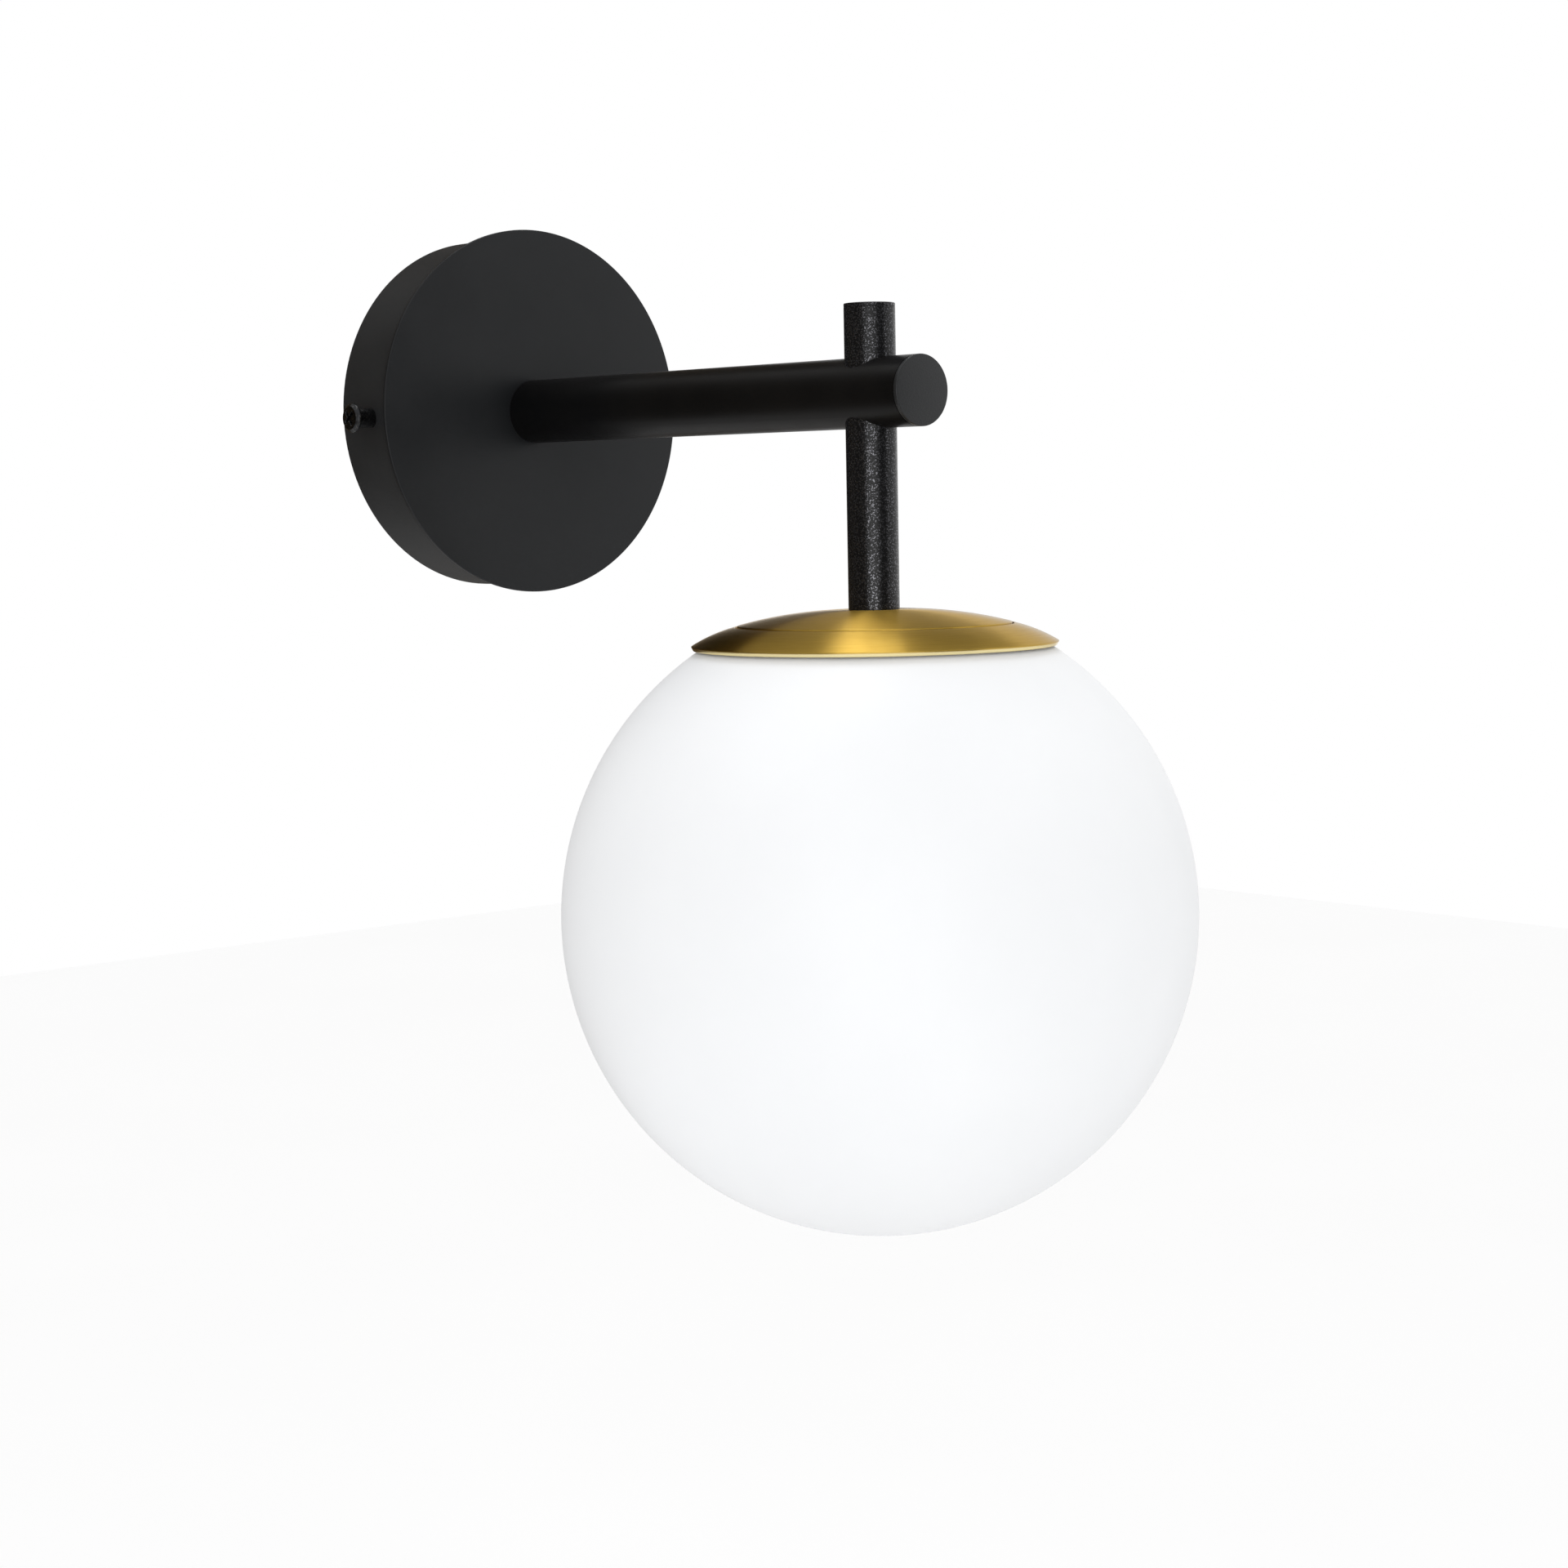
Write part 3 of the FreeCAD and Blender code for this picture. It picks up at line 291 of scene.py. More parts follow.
def thread(pitch, depth, low, high, inner_r=0):
    """Shift for a right-hand thread between two heights, on radii over inner_r.

    The radius falls by the depth times one half of one less the cosine of (a full turn times
    height over pitch, less the angle), and the fall fades out within half a pitch of each end.
    """
    def cut(radius, height, angle):
        wave = 0.5 - 0.5 * np.cos(2 * math.pi * height / pitch - angle)
        fade = smooth_rise(height, low, low + pitch / 2) - smooth_rise(height, high - pitch / 2, high)
        return radius - np.where(radius > inner_r, depth * wave * fade, 0), height
    return cut


def recess(kind, reach, half_width, depth, slope, top):
    """Shift for a cross recess or a slot in the top of a screw head.

    The fall is the depth times the distance inside the recess's outline over the width of its
    sloping wall, up to the whole depth. The cross is the nearer of two crossing oblongs.
    """
    def cut(radius, height, angle):
        x = np.abs(radius * np.cos(angle))
        y = np.abs(radius * np.sin(angle))
        outside = np.maximum(x - reach, y - half_width)
        if kind == "cross":
            outside = np.minimum(outside, np.maximum(x - half_width, y - reach))
        fall = depth * np.clip(-outside / slope, 0, 1)
        return radius, height - np.where(height > top, fall, 0)
    return cut


def both(first, second):
    """Shift made of two, one after the other."""
    return lambda radius, height, angle: second(*first(radius, height, angle), angle)


def screw(name, place, along, head_r, head_h, thread_r, length, pitch, material, kind="cross"):
    """Pan head screw: rounded head over a threaded shank with a bevelled tip.

    The crown is a cap of a sphere: its height falls by the bend's radius less the root of that
    radius squared less the distance from the axis squared.
    """
    side_h = head_h * 0.5
    crown_r = head_r * 0.8
    crown_fall = head_h * 0.12
    bend = (crown_r ** 2 + crown_fall ** 2) / (2 * crown_fall)
    crown = np.linspace(crown_r, 0, 26)
    crown_h = head_h - bend + np.sqrt(bend ** 2 - crown ** 2)
    shank = np.linspace(-length + thread_r * 0.3, -pitch * 0.2, max(12, int(length / pitch * 9)))
    corners = np.vstack([
        [(0, -length), (thread_r * 0.7, -length)],
        upright(thread_r, shank),
        [(thread_r, 0), (head_r, 0), (head_r, side_h)],
        np.stack([crown, crown_h], 1),
    ])
    outline = rounded(corners, head_h * 0.25, 5)
    ridge = thread(pitch, pitch * 0.5, -length, 0, thread_r * 0.9)
    cup = recess(kind, head_r * 0.58, head_r * 0.13, head_h * 0.5, head_h * 0.12, head_h * 0.7)
    return turned(name, outline, place, along, material, screw_turns, both(ridge, cup))


def stand_for(piece, node, body):
    """The piece takes the place of a node, on its body."""
    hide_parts(node)
    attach(piece, body)
    return piece


bare_brass = clouded("bare_brass", brass_bare, brass_bare_dull, shine=(0.24, 0.42), cloud=(0.004, 3),
                     relief=(0.00025,), depth=0.00001, metallic=1.0,
                     pattern=lambda tree, place, noise: noise)
earth_low, earth_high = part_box("bracket_earth_screw")
earth_seat = ((earth_low.x + earth_high.x) / 2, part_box("bracket_earth_washer")[0].y, 0)
stand_for(
    screw("earth_screw", earth_seat, (0, -1, 0), earth_head_r, earth_head_h, earth_thread_r,
          earth_shank, small_pitch, bare_brass),
    "bracket_earth_screw", "bracket")
dress(bare_brass, "bracket_earth_washer")

# Canopy
# A flat steel disc on a rolled ring, welded from behind and powder coated satin black. The
# ring's coat is rougher, and painted paler as painted light on its side wall.
# Short threaded bosses on the ring's sides take the two screws that grip the bracket.

canopy_black = (0.0088, 0.0096, 0.0107)
canopy_black_pale = (0.0124, 0.0132, 0.0144)
# A paler copy of the canopy's black: painted light on the ring's side wall.
lit_ring_black = (0.0125, 0.0132, 0.0142)
lit_ring_black_pale = (0.0165, 0.0172, 0.0182)
disc_hole_r = 0.005
disc_edge_r = 0.0004


def coated_black(name, dark, pale, roughness, peel, depth, specular):
    """Powder coat: fine orange peel over faint clouds of tone and shine."""
    return clouded(name, dark, pale, shine=(roughness - 0.04, roughness + 0.05), cloud=(0.03, 3),
                   relief=(peel, 3, 0.6), depth=depth, specular=specular)


def span(node):
    """Low and high corner of a node's box, and half its width."""
    low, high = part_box(node)
    return low, high, (high.x - low.x) / 2


satin_black = coated_black("satin_black_coat", canopy_black, canopy_black_pale, 0.37, 0.0005, 0.00002, 0.22)
disc_low, disc_high, disc_r = span("canopy_front_disc")
disc_outline = rounded([
    (disc_hole_r, -disc_low.y), (disc_r, -disc_low.y), (disc_r, -disc_high.y), (disc_hole_r, -disc_high.y),
], disc_edge_r, 5)
stand_for(
    turned("canopy_disc", disc_outline, (0, 0, 0), (0, -1, 0), satin_black, 288),
    "canopy_front_disc", "lamp")
# Rougher coat on the ring, in the paler copy of the black: painted light on its side wall.
lit_ring_coat = coated_black("lit_ring_coat", lit_ring_black, lit_ring_black_pale, 0.5, 0.0005, 0.00002, 0.28)
dress(lit_ring_coat, "canopy_ring")

# Canopy side screws
# Blackened steel pan head screws with a cross recess, each over a split spring washer.
# They turn in the bosses, and their tips press on the bracket's ears.

screw_black = (0.035, 0.036, 0.038)
screw_black_worn = (0.16, 0.15, 0.14)
side_head_h = 0.0024
side_thread_r = 0.00195
washer_section_t = 0.00072
washer_gap_turn = 0.16


def worn_spots(tree, place, noise):
    """Share of bare steel: none, but for small spots at the tops of a rough noise."""
    return spread(tree, grain(tree, place, 0.0008, 4, 0.7), 0, 1, 0.55, 0.8)


def carried(name, centre, side, other, section, material):
    """Section carried along a path, with flat ends.

    A point is the path's centre plus the section's two numbers times the side and the other
    direction there. The two end rings are closed by one face each.
    """
    points = centre[:, None] + side[:, None] * section[:, :1] + other[:, None] * section[:, 1:]
    rows, columns = points.shape[:2]
    ends = [list(range(columns)), list(range((rows - 1) * columns, rows * columns))]
    return add_mesh(name, points, grid_faces(rows, columns, False) + ends, material)


def spring_washer(name, node, along):
    """Split ring: a rounded oblong carried once round, rising evenly from one end to the other.

    The oblong is drawn 1 m out and moved in, as rounded leaves corners on the axis sharp.
    """
    low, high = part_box(node)
    place = np.array([(low[k] + high[k]) / 2 for k in range(3)])
    outer_r = (high.z - low.z) / 2
    inner_r = outer_r * 0.61
    thick = high.x - low.x
    half_w = (outer_r - inner_r) / 2
    half_t = washer_section_t / 2
    section = rounded([(1, half_t), (1 + 2 * half_w, half_t), (1 + 2 * half_w, -half_t), (1, -half_t)],
                      half_t * 0.5, 3) - (1 + half_w, 0)
    angle = np.linspace(washer_gap_turn, 2 * math.pi - washer_gap_turn, 90)[:, None]
    side = np.hstack([np.zeros_like(angle), np.cos(angle), np.sin(angle)])
    rise = (angle / (2 * math.pi) - 0.5) * (thick - washer_section_t)
    axis = np.array(along, float)
    centre = place + side * (inner_r + half_w) + axis * rise
    return carried(name, centre, side, np.repeat(axis[None], len(angle), 0), section, blackened)


blackened = clouded("blackened_steel", screw_black, screw_black_worn, shine=(0.26, 0.4), cloud=(0.0015,),
                    relief=(0.0002,), depth=0.000008, metallic=1.0, pattern=worn_spots)
dress(blackened, "canopy_screw_bosses")
for hand, sign in (("left", -1), ("right", 1)):
    low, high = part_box(hand + "_canopy_screw")
    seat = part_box(hand + "_screw_washer")[1 if sign > 0 else 0].x
    reach = abs(seat) - min(abs(low.x), abs(high.x))
    place = (seat, (low.y + high.y) / 2, (low.z + high.z) / 2)
    stand_for(
        screw(hand + "_side_screw", place, (sign, 0, 0), (high.z - low.z) / 2, side_head_h,
              side_thread_r, reach, small_pitch, blackened),
        hand + "_canopy_screw", hand + "_screw")
    stand_for(
        spring_washer(hand + "_spring_washer", hand + "_screw_washer", (sign, 0, 0)),
        hand + "_screw_washer", hand + "_washer")

# Arm
# A steel tube, bored across near its end for the drop tube and closed by a turned cap. It is
# powder coated smoother than the canopy and screwed on from inside with a hollow nipple. The
# cap's coat is painted paler than the tube's, as painted light on its end face.

arm_black = (0.0030, 0.0030, 0.0033)
arm_black_pale = (0.0050, 0.0046, 0.0044)
# A paler copy of the arm's black: painted light on the end face of the cap.
lit_end_black = (0.0130, 0.0138, 0.0150)
lit_end_black_pale = (0.0215, 0.0223, 0.0235)
end_bevel = 0.00035
end_plate = 0.0015
nipple_thread_depth = 0.0005
nipple_pitch = 0.001
nipple_bevel = 0.0004
nipple_bore_share = 0.7

arm_coat = coated_black("arm_coat", arm_black, arm_black_pale, 0.36, 0.0006, 0.000012, 0.13)
# The cap's coat is the arm's coat painted paler, as painted light on its end face.
lit_end_coat = coated_black("arm_end_coat", lit_end_black, lit_end_black_pale, 0.38, 0.0006, 0.00006, 0.30)
dress(arm_coat, "arm_tube")
end_low, end_high, end_r = span("arm_end_cap")
end_bore_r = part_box("arm_root_plug")[1].x
end_outline = rounded([
    (0, -end_low.y), (end_r, -end_low.y), (end_r, -end_low.y - end_plate),
    (end_bore_r, -end_low.y - end_plate), (end_bore_r, -end_high.y), (0, -end_high.y),
], end_bevel, 4)
stand_for(
    turned("arm_cap", end_outline, (0, 0, 0), (0, -1, 0), lit_end_coat, 160),
    "arm_end_cap", "lamp")


def nipple(name, node, place, along, material):
    """Hollow threaded rod, with a fine thread cut in its outside."""
    low, high, outer_r = span(node)
    start, end = sorted(float(np.dot(corner, along) - np.dot(place, along)) for corner in (low, high))
    bore_r = outer_r * nipple_bore_share
    margin = nipple_pitch * 0.3
    heights = np.linspace(start + margin, end - margin, int((end - start) / nipple_pitch * 10))
    corners = np.vstack([
        [(bore_r, end), (bore_r, start), (outer_r - nipple_bevel, start)],
        upright(outer_r, heights),
        [(outer_r - nipple_bevel, end)],
    ])
    ridge = thread(nipple_pitch, nipple_thread_depth, start, end, outer_r * 0.95)
    return turned(name, corners, place, along, material, 72, ridge)


stand_for(nipple("arm_nipple", "canopy_nipple", (0, 0, 0), (0, -1, 0), zinc),
          "canopy_nipple", "lamp")
dress(zinc, "arm_root_plug", "canopy_lock_washer", "canopy_nut")

# Drop tube
# A thinner steel tube pushed through the arm and welded there, with a flat cap on its top.
# Its powder coat is coarser than the arm's, so it glitters along its highlights.

drop_black = (0.0045, 0.0045, 0.0050)
drop_speck = (0.13, 0.13, 0.14)
drop_grain = 0.0005
drop_grain_depth = 0.00005
drop_bevel = 0.0003


def textured_coat():
    """Coarse powder coat: hard little lumps, of which the highest tops shine like metal."""
    material, tree, shader = new_finish("drop_tube_coat", 0.0, 0.3, 0.22)
    lumps = grain(tree, object_place(tree), drop_grain, 2, 0.6)
    tops = spread(tree, lumps, 0, 1, 0.55, 0.62)
    tree.links.new(tops, shader.inputs["Metallic"])
    feed(tree, shader, blend_colours(tree, tops, drop_black, drop_speck),
         spread(tree, tops, 0.28, 0.19, 0, 1), lumps, drop_grain_depth)
    return material


drop_coat = textured_coat()
dress(drop_coat, "drop_tube")
dress(zinc, "drop_tube_insert")
drop_low, drop_high, drop_r = span("drop_tube")
lamp_axis = ((drop_low.x + drop_high.x) / 2, (drop_low.y + drop_high.y) / 2, 0)


def round_lamp_axis(node, body, name, outline, material, turns, shift=None):
    """Piece turned round the lamp's upright axis, which takes the place of a node."""
    return stand_for(turned(name, outline, lamp_axis, (0, 0, 1), material, turns, shift), node, body)


lid_low, lid_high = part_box("drop_tube_cap")
drop_bore_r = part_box("drop_tube_insert")[1].x
lid_outline = rounded([
    (0, lid_low.z), (drop_bore_r, lid_low.z), (drop_bore_r, drop_high.z), (drop_r, drop_high.z),
    (drop_r, lid_high.z), (0, lid_high.z),
], drop_bevel, 4)
round_lamp_axis("drop_tube_cap", "lamp", "drop_tube_lid", lid_outline, drop_coat, 128)

# Brass dome
# The fixed upper half of the cap: brass sheet spun to a shallow dome with a flat seat for the
# drop tube, then brushed while it turned and lacquered. Its rim goes round the globe's neck.

brass_gold = (0.57, 0.375, 0.080)
brass_deep = (0.49, 0.31, 0.055)
# Paler colour for the polished lip: a painted highlight, as it is the same brass as the rest.
brass_polished_highlight = (0.91, 0.78, 0.42)
brass_edge_tint = (0.85, 0.80, 0.72, 1.0)
brass_t = 0.0012
brush_width = 0.00016
brush_depth = 0.000008
streak_width = 0.0006
lip_fade = 0.0004
dome_seat_r = 0.0095
dome_bore_r = 0.005
dome_rim_depth = 0.0068
dome_edge_r = 0.0005


def worked_out(tree, operation, first, second):
    """Result of a calculation on two values."""
    return add(tree, "Math", [(0, first), (1, second)], operation=operation).outputs[0]


def brushed_brass_finish(name, polished_highlight_below=None):
    """Brass brushed round the lamp axis.

    The pattern reads the distance from the axis and the height finely, and the direction round
    the axis coarsely, so its streaks are long arcs. The shader's tangent runs down the slope,
    square to the brush marks, so each lamp draws out into a fan. Below a given height the
    brass is polished instead, which makes it sharper, and its colour there is painted paler,
    a painted highlight along the lip.
    """
    material, tree, shader = new_finish(name, 1.0, 0.3)
    place = object_place(tree, lamp_axis)
    parts = add(tree, "SeparateXYZ", [(0, place)]).outputs
    flat = add(tree, "CombineXYZ", [(0, parts[0]), (1, parts[1])]).outputs[0]
    distance = add(tree, "VectorMath", [(0, flat)], operation="LENGTH").outputs["Value"]
    heading = add(tree, "VectorMath", [(0, flat)], operation="NORMALIZE").outputs[0]
    around = add(tree, "SeparateXYZ", [(0, heading)]).outputs
    across = worked_out(tree, "SUBTRACT", distance, parts[2])

    def streaks(width, turns):
        pairs = ((around[0], turns), (around[1], turns), (across, 1 / width))
        scaled = [worked_out(tree, "MULTIPLY", *pair) for pair in pairs]
        return grain(tree, add(tree, "CombineXYZ", enumerate(scaled)).outputs[0], 1.0, 3.0, 0.65)

    narrow = streaks(brush_width, 9.0)
    wide = streaks(streak_width, 3.0)
    colour = blend_colours(tree, spread(tree, wide, 0, 1), brass_gold, brass_deep)
    shine = spread(tree, narrow, 0.31, 0.39)
    if polished_highlight_below is not None:
        # Below the polished height the colour is a painted highlight, paler brass along the lip; the lower
        # roughness there is real polish.
        above = spread(tree, parts[2], 0, 1, polished_highlight_below - lip_fade, polished_highlight_below)
        polish = spread(tree, above, 0.35, 1.0, 0, 1)
        colour = blend_colours(tree, above, brass_polished_highlight, colour)
        shine = worked_out(tree, "MULTIPLY", shine, polish)
    feed(tree, shader, colour, shine, narrow, brush_depth)
    shader.inputs["Anisotropic"].default_value = 1.0
    shader.inputs["Specular Tint"].default_value = brass_edge_tint
    square = {"operation": "CROSS_PRODUCT"}
    marks = add(tree, "VectorMath", [(0, (0.0, 0.0, 1.0)), (1, heading)], **square).outputs[0]
    face = add(tree, "NewGeometry").outputs["Normal"]
    slope = add(tree, "VectorMath", [(0, marks), (1, face)], **square).outputs[0]
    tree.links.new(slope, shader.inputs["Tangent"])
    return material


brushed_brass = brushed_brass_finish("brushed_brass")
dome_low, dome_high, dome_r = span("brass_dome")
dome_top = dome_high.z
dome_foot = dome_low.z
dome_drop = dome_top - dome_foot - dome_rim_depth
dome_span = dome_r - dome_seat_r
dome_bend = (dome_span ** 2 + dome_drop ** 2) / (2 * dome_drop)
dome_turn = np.linspace(0, math.asin(dome_span / dome_bend), 24)[:, None]


def dome_arc(inset):
    """Circle that leaves the seat level: sine and cosine of the turn times the bend's radius."""
    radius = dome_seat_r + (dome_bend - inset) * np.sin(dome_turn)
    height = dome_top - dome_bend + (dome_bend - inset) * np.cos(dome_turn)
    return np.hstack([radius, height])


inner_arc = dome_arc(brass_t)
inner_arc = inner_arc[inner_arc[:, 0] < dome_r - brass_t]
dome_outline = rounded(np.vstack([
    [(dome_bore_r, dome_top)], dome_arc(0), [(dome_r, dome_foot), (dome_r - brass_t, dome_foot)],
    [(dome_r - brass_t, inner_arc[-1, 1])], inner_arc[::-1][1:], [(dome_bore_r, dome_top - brass_t)],
]), dome_edge_r, 5)
round_lamp_axis("brass_dome", "lamp", "cap_dome", dome_outline, brushed_brass, 288)

# Head fixings
# A hollow steel nipple, a plain washer, a toothed washer and a nut clamp the dome to the drop
# tube. All are zinc plated, and the lampholder screws on below them.

stand_for(nipple("head_tube_nipple", "head_nipple", lamp_axis, (0, 0, 1), zinc),
          "head_nipple", "lamp")
dress(zinc, "head_washer", "head_lock_washer", "head_nut")

# Lampholder
# A two-part holder of black moulded plastic with grip ribs, round a ceramic core that carries
# a brass screw shell, a sprung centre contact and two wire clamps. A small screw locks it.

plastic_black = (0.020, 0.020, 0.021)
plastic_black_pale = (0.032, 0.032, 0.033)
ceramic_white = (0.80, 0.79, 0.75)
ceramic_cream = (0.70, 0.68, 0.62)
cap_neck_r = 0.0085
cap_neck_drop = 0.005
cap_thread_drop = 0.009
cap_dome_drop = 0.0158
cap_inner_drop = 0.017
mouth_r = 0.0144
mouth_lip = 0.002
rib_count = 40
rib_depth = 0.0005
rib_foot = 0.002
rib_top = 0.012
rib_fade = 0.001
lamp_thread_pitch = 0.00362
lamp_thread_depth = 0.0008
holder_edge_r = 0.0006
shell_wall = 0.0004
clamp_head_r = 0.0026
clamp_head_h = 0.0018
clamp_thread_r = 0.00145
clamp_shank = 0.0023
clamp_pitch = 0.0005


def moulded_finish(name, first, second, roughness, relief, depth):
    """Moulded or fired surface: two close tones in clouds, under fine grain."""
    return clouded(name, first, second, shine=(roughness - 0.05, roughness + 0.07), cloud=(0.006, 4),
                   relief=(relief,), depth=depth)


def ribs(low, high, limit_r):
    """Shift that presses grooves between grip ribs into radii over a limit, from low to high."""
    def cut(radius, height, angle):
        wave = 0.5 - 0.5 * np.cos(rib_count * angle)
        band = smooth_rise(height, low, low + rib_fade) - smooth_rise(height, high - rib_fade, high)
        return radius - np.where(radius > limit_r, rib_depth * wave * band, 0), height
    return cut


holder_plastic = moulded_finish("holder_plastic", plastic_black, plastic_black_pale, 0.42, 0.0004, 0.00001)
ceramic = moulded_finish("holder_ceramic", ceramic_white, ceramic_cream, 0.6, 0.0006, 0.00002)
cap_low, cap_high, holder_r = span("holder_cap")
shell_low, shell_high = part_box("holder_shell")
holder_bore_r = span("holder_core")[2]
cap_turn = np.linspace(0, math.pi / 2, 14)[1:, None]


def cap_curve(neck_z, rim_r, rim_z):
    """Quarter ellipse from the neck out to the rim."""
    radius = cap_neck_r + (rim_r - cap_neck_r) * np.sin(cap_turn)
    height = rim_z + (neck_z - rim_z) * np.cos(cap_turn)
    return np.hstack([radius, height])


cap_outline = rounded(np.vstack([
    [(dome_bore_r, cap_high.z), (cap_neck_r, cap_high.z), (cap_neck_r, cap_high.z - cap_neck_drop)],
    cap_curve(cap_high.z - cap_neck_drop, holder_r, cap_high.z - cap_dome_drop),
    upright(holder_r, np.linspace(cap_high.z - cap_dome_drop, cap_low.z, 11)[1:]),
    [(holder_bore_r, cap_low.z)],
    cap_curve(cap_high.z - cap_thread_drop, holder_bore_r, cap_high.z - cap_inner_drop)[::-1],
    [(cap_neck_r, cap_high.z - cap_thread_drop), (dome_bore_r, cap_high.z - cap_thread_drop)],
]), holder_edge_r, 4)
round_lamp_axis("holder_cap", "lamp", "lampholder_cap", cap_outline, holder_plastic,
                320, ribs(cap_low.z, cap_high.z - cap_dome_drop, holder_r * 0.98))
shell_outline = rounded(np.vstack([
    upright(holder_r, np.linspace(shell_high.z, shell_low.z, 12)),
    [(mouth_r, shell_low.z), (mouth_r, shell_low.z + mouth_lip), (holder_bore_r, shell_low.z + mouth_lip),
     (holder_bore_r, shell_high.z)],
]), holder_edge_r, 4)
round_lamp_axis("holder_shell", "lamp", "lampholder_shell", shell_outline, holder_plastic,
                320, ribs(shell_low.z + rib_foot, shell_low.z + rib_top, holder_r * 0.98))
dress(ceramic, "holder_core")
dress(bare_brass, "holder_contact", "holder_clamps")
dress(zinc, "holder_grub_screw")

sleeve_low, sleeve_high, sleeve_r = span("holder_screw_shell")
sleeve_z = np.linspace(sleeve_low.z, sleeve_high.z, 90)
sleeve_outline = np.vstack([
    upright(sleeve_r + lamp_thread_depth, sleeve_z),
    upright(sleeve_r - shell_wall + lamp_thread_depth, sleeve_z[::-1]),
])
# Its thread ends 1 m past both ends, so that it doesn't fade out.
sleeve_thread = thread(lamp_thread_pitch, lamp_thread_depth, sleeve_low.z - 1, sleeve_high.z + 1)
round_lamp_axis("holder_screw_shell", "lamp", "lampholder_screw_shell", sleeve_outline,
                bare_brass, 96, sleeve_thread)

clamp_low, clamp_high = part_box("holder_clamp_screws")
clamp_z = (clamp_low.z + clamp_high.z) / 2
clamp_screws = [
    screw("clamp_screw", (sign * (clamp_high.x - clamp_head_h), lamp_axis[1], clamp_z), (sign, 0, 0),
          clamp_head_r, clamp_head_h, clamp_thread_r, clamp_shank, clamp_pitch, zinc, "slot")
    for sign in (-1, 1)]


def joined(name, pieces):
    """Several like pieces as one object, whose mesh holds them one after another."""
    work = bmesh.new()
    for piece in pieces:
        work.from_mesh(piece.data)
    mesh = bpy.data.meshes.new(name)
    work.to_mesh(mesh)
    work.free()
    mesh.set_sharp_from_angle(angle=sharp_angle)
    mesh.materials.append(pieces[0].data.materials[0])
    whole = bpy.data.objects.new(name, mesh)
    bpy.context.scene.collection.objects.link(whole)
    for piece in pieces:
        old = piece.data
        bpy.data.objects.remove(piece)
        bpy.data.meshes.remove(old)
    return whole


stand_for(joined("lampholder_clamp_screws", clamp_screws), "holder_clamp_screws", "lamp")

# Terminal block and earth stud
# A block of pale moulded plastic with three brass sleeves and six slotted screws, and a welded
# stud with a crimped ring tag and a nut. Both sit on the back of the canopy's disc.

block_white = (0.74, 0.74, 0.71)
block_shade = (0.64, 0.64, 0.61)
pole_pitch = 0.010
block_screw_offset = 0.0045
block_screw_r = 0.0015
block_screw_pitch = 0.0005

block_plastic = moulded_finish("block_plastic", block_white, block_shade, 0.5, 0.0005, 0.00001)
dress(block_plastic, "terminal_block")
dress(bare_brass, "terminal_sleeves")
dress(zinc, "terminal_stud", "terminal_nut", "earth_stud", "earth_tag", "earth_nut")
block_low, block_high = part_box("terminal_block")
block_screws_low, block_screws_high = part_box("terminal_screws")
block_z = (block_low.z + block_high.z) / 2


def headless_screw(name, place, along, radius, length, pitch, material):
    """Slotted screw without a head: a threaded rod with a slot across its outer end."""
    heights = np.linspace(0.0001, length - 0.0001, int(length / pitch * 8))
    corners = np.vstack([
        [(0, 0), (radius * 0.8, 0)],
        upright(radius, heights),
        np.stack([np.linspace(radius * 0.8, 0, 14), np.full(14, length)], 1),
    ])
    ridge = thread(pitch, pitch * 0.5, 0, length, radius * 0.95)
    cup = recess("slot", radius * 2, radius * 0.18, radius * 0.7, radius * 0.12, length * 0.97)
    return turned(name, corners, place, along, material, 48, both(ridge, cup))


block_screw_length = block_screws_high.y - block_screws_low.y
pole_screws = [
    headless_screw("pole_screw", (k * pole_pitch, block_screws_low.y, block_z + side * block_screw_offset),
                   (0, 1, 0), block_screw_r, block_screw_length, block_screw_pitch, zinc)
    for k in (-1, 0, 1) for side in (-1, 1)]
stand_for(joined("terminal_pole_screws", pole_screws), "terminal_screws", "lamp")

# Wires
# Three stranded wires in soft plastic insulation, brown, blue, and green with yellow. Two run
# from the block through the arm and the drop tube to the lampholder, and one to the earth tag.

wire_r = 0.00118
wire_side = 0.0015
wire_sides = 20
brown = (0.14, 0.055, 0.025)
brown_worn = (0.19, 0.08, 0.035)
blue = (0.03, 0.14, 0.46)
blue_worn = (0.05, 0.19, 0.52)
stripe_green = (0.045, 0.24, 0.035)
stripe_yellow = (0.72, 0.58, 0.03)
bend_share = 0.45
stripe_twist = 250
block_inside = 0.0045
entry_x = 0.004
entry_y = -0.009
entry_z = 0.012
clamp_x = 0.0105
clamp_rise = 0.006


def wire_route(points, tight=None):
    """Path of straight runs with a smooth bend at each inner point.

    A bend goes from one point to the next by (1 - t) squared of its start, 2t(1 - t) of its
    corner and t squared of its end, which lie a share of the shorter run from the corner, or
    at most the length that tight gives for that corner.
    """
    points = np.array(points, float)
    runs = np.diff(points, axis=0)
    lengths = np.linalg.norm(runs, axis=1)
    unit = runs / lengths[:, None]
    reach = bend_share * np.minimum(lengths[:-1], lengths[1:])
    for index, most in (tight or {}).items():
        reach[index - 1] = min(reach[index - 1], most)
    start = points[1:-1] - unit[:-1] * reach[:, None]
    end = points[1:-1] + unit[1:] * reach[:, None]
    t = np.linspace(0, 1, 12)[None, :, None]
    bends = (1 - t) ** 2 * start[:, None] + 2 * t * (1 - t) * points[1:-1, None] + t ** 2 * end[:, None]
    return np.vstack([points[:1], bends.reshape(-1, 3), points[-1:]])


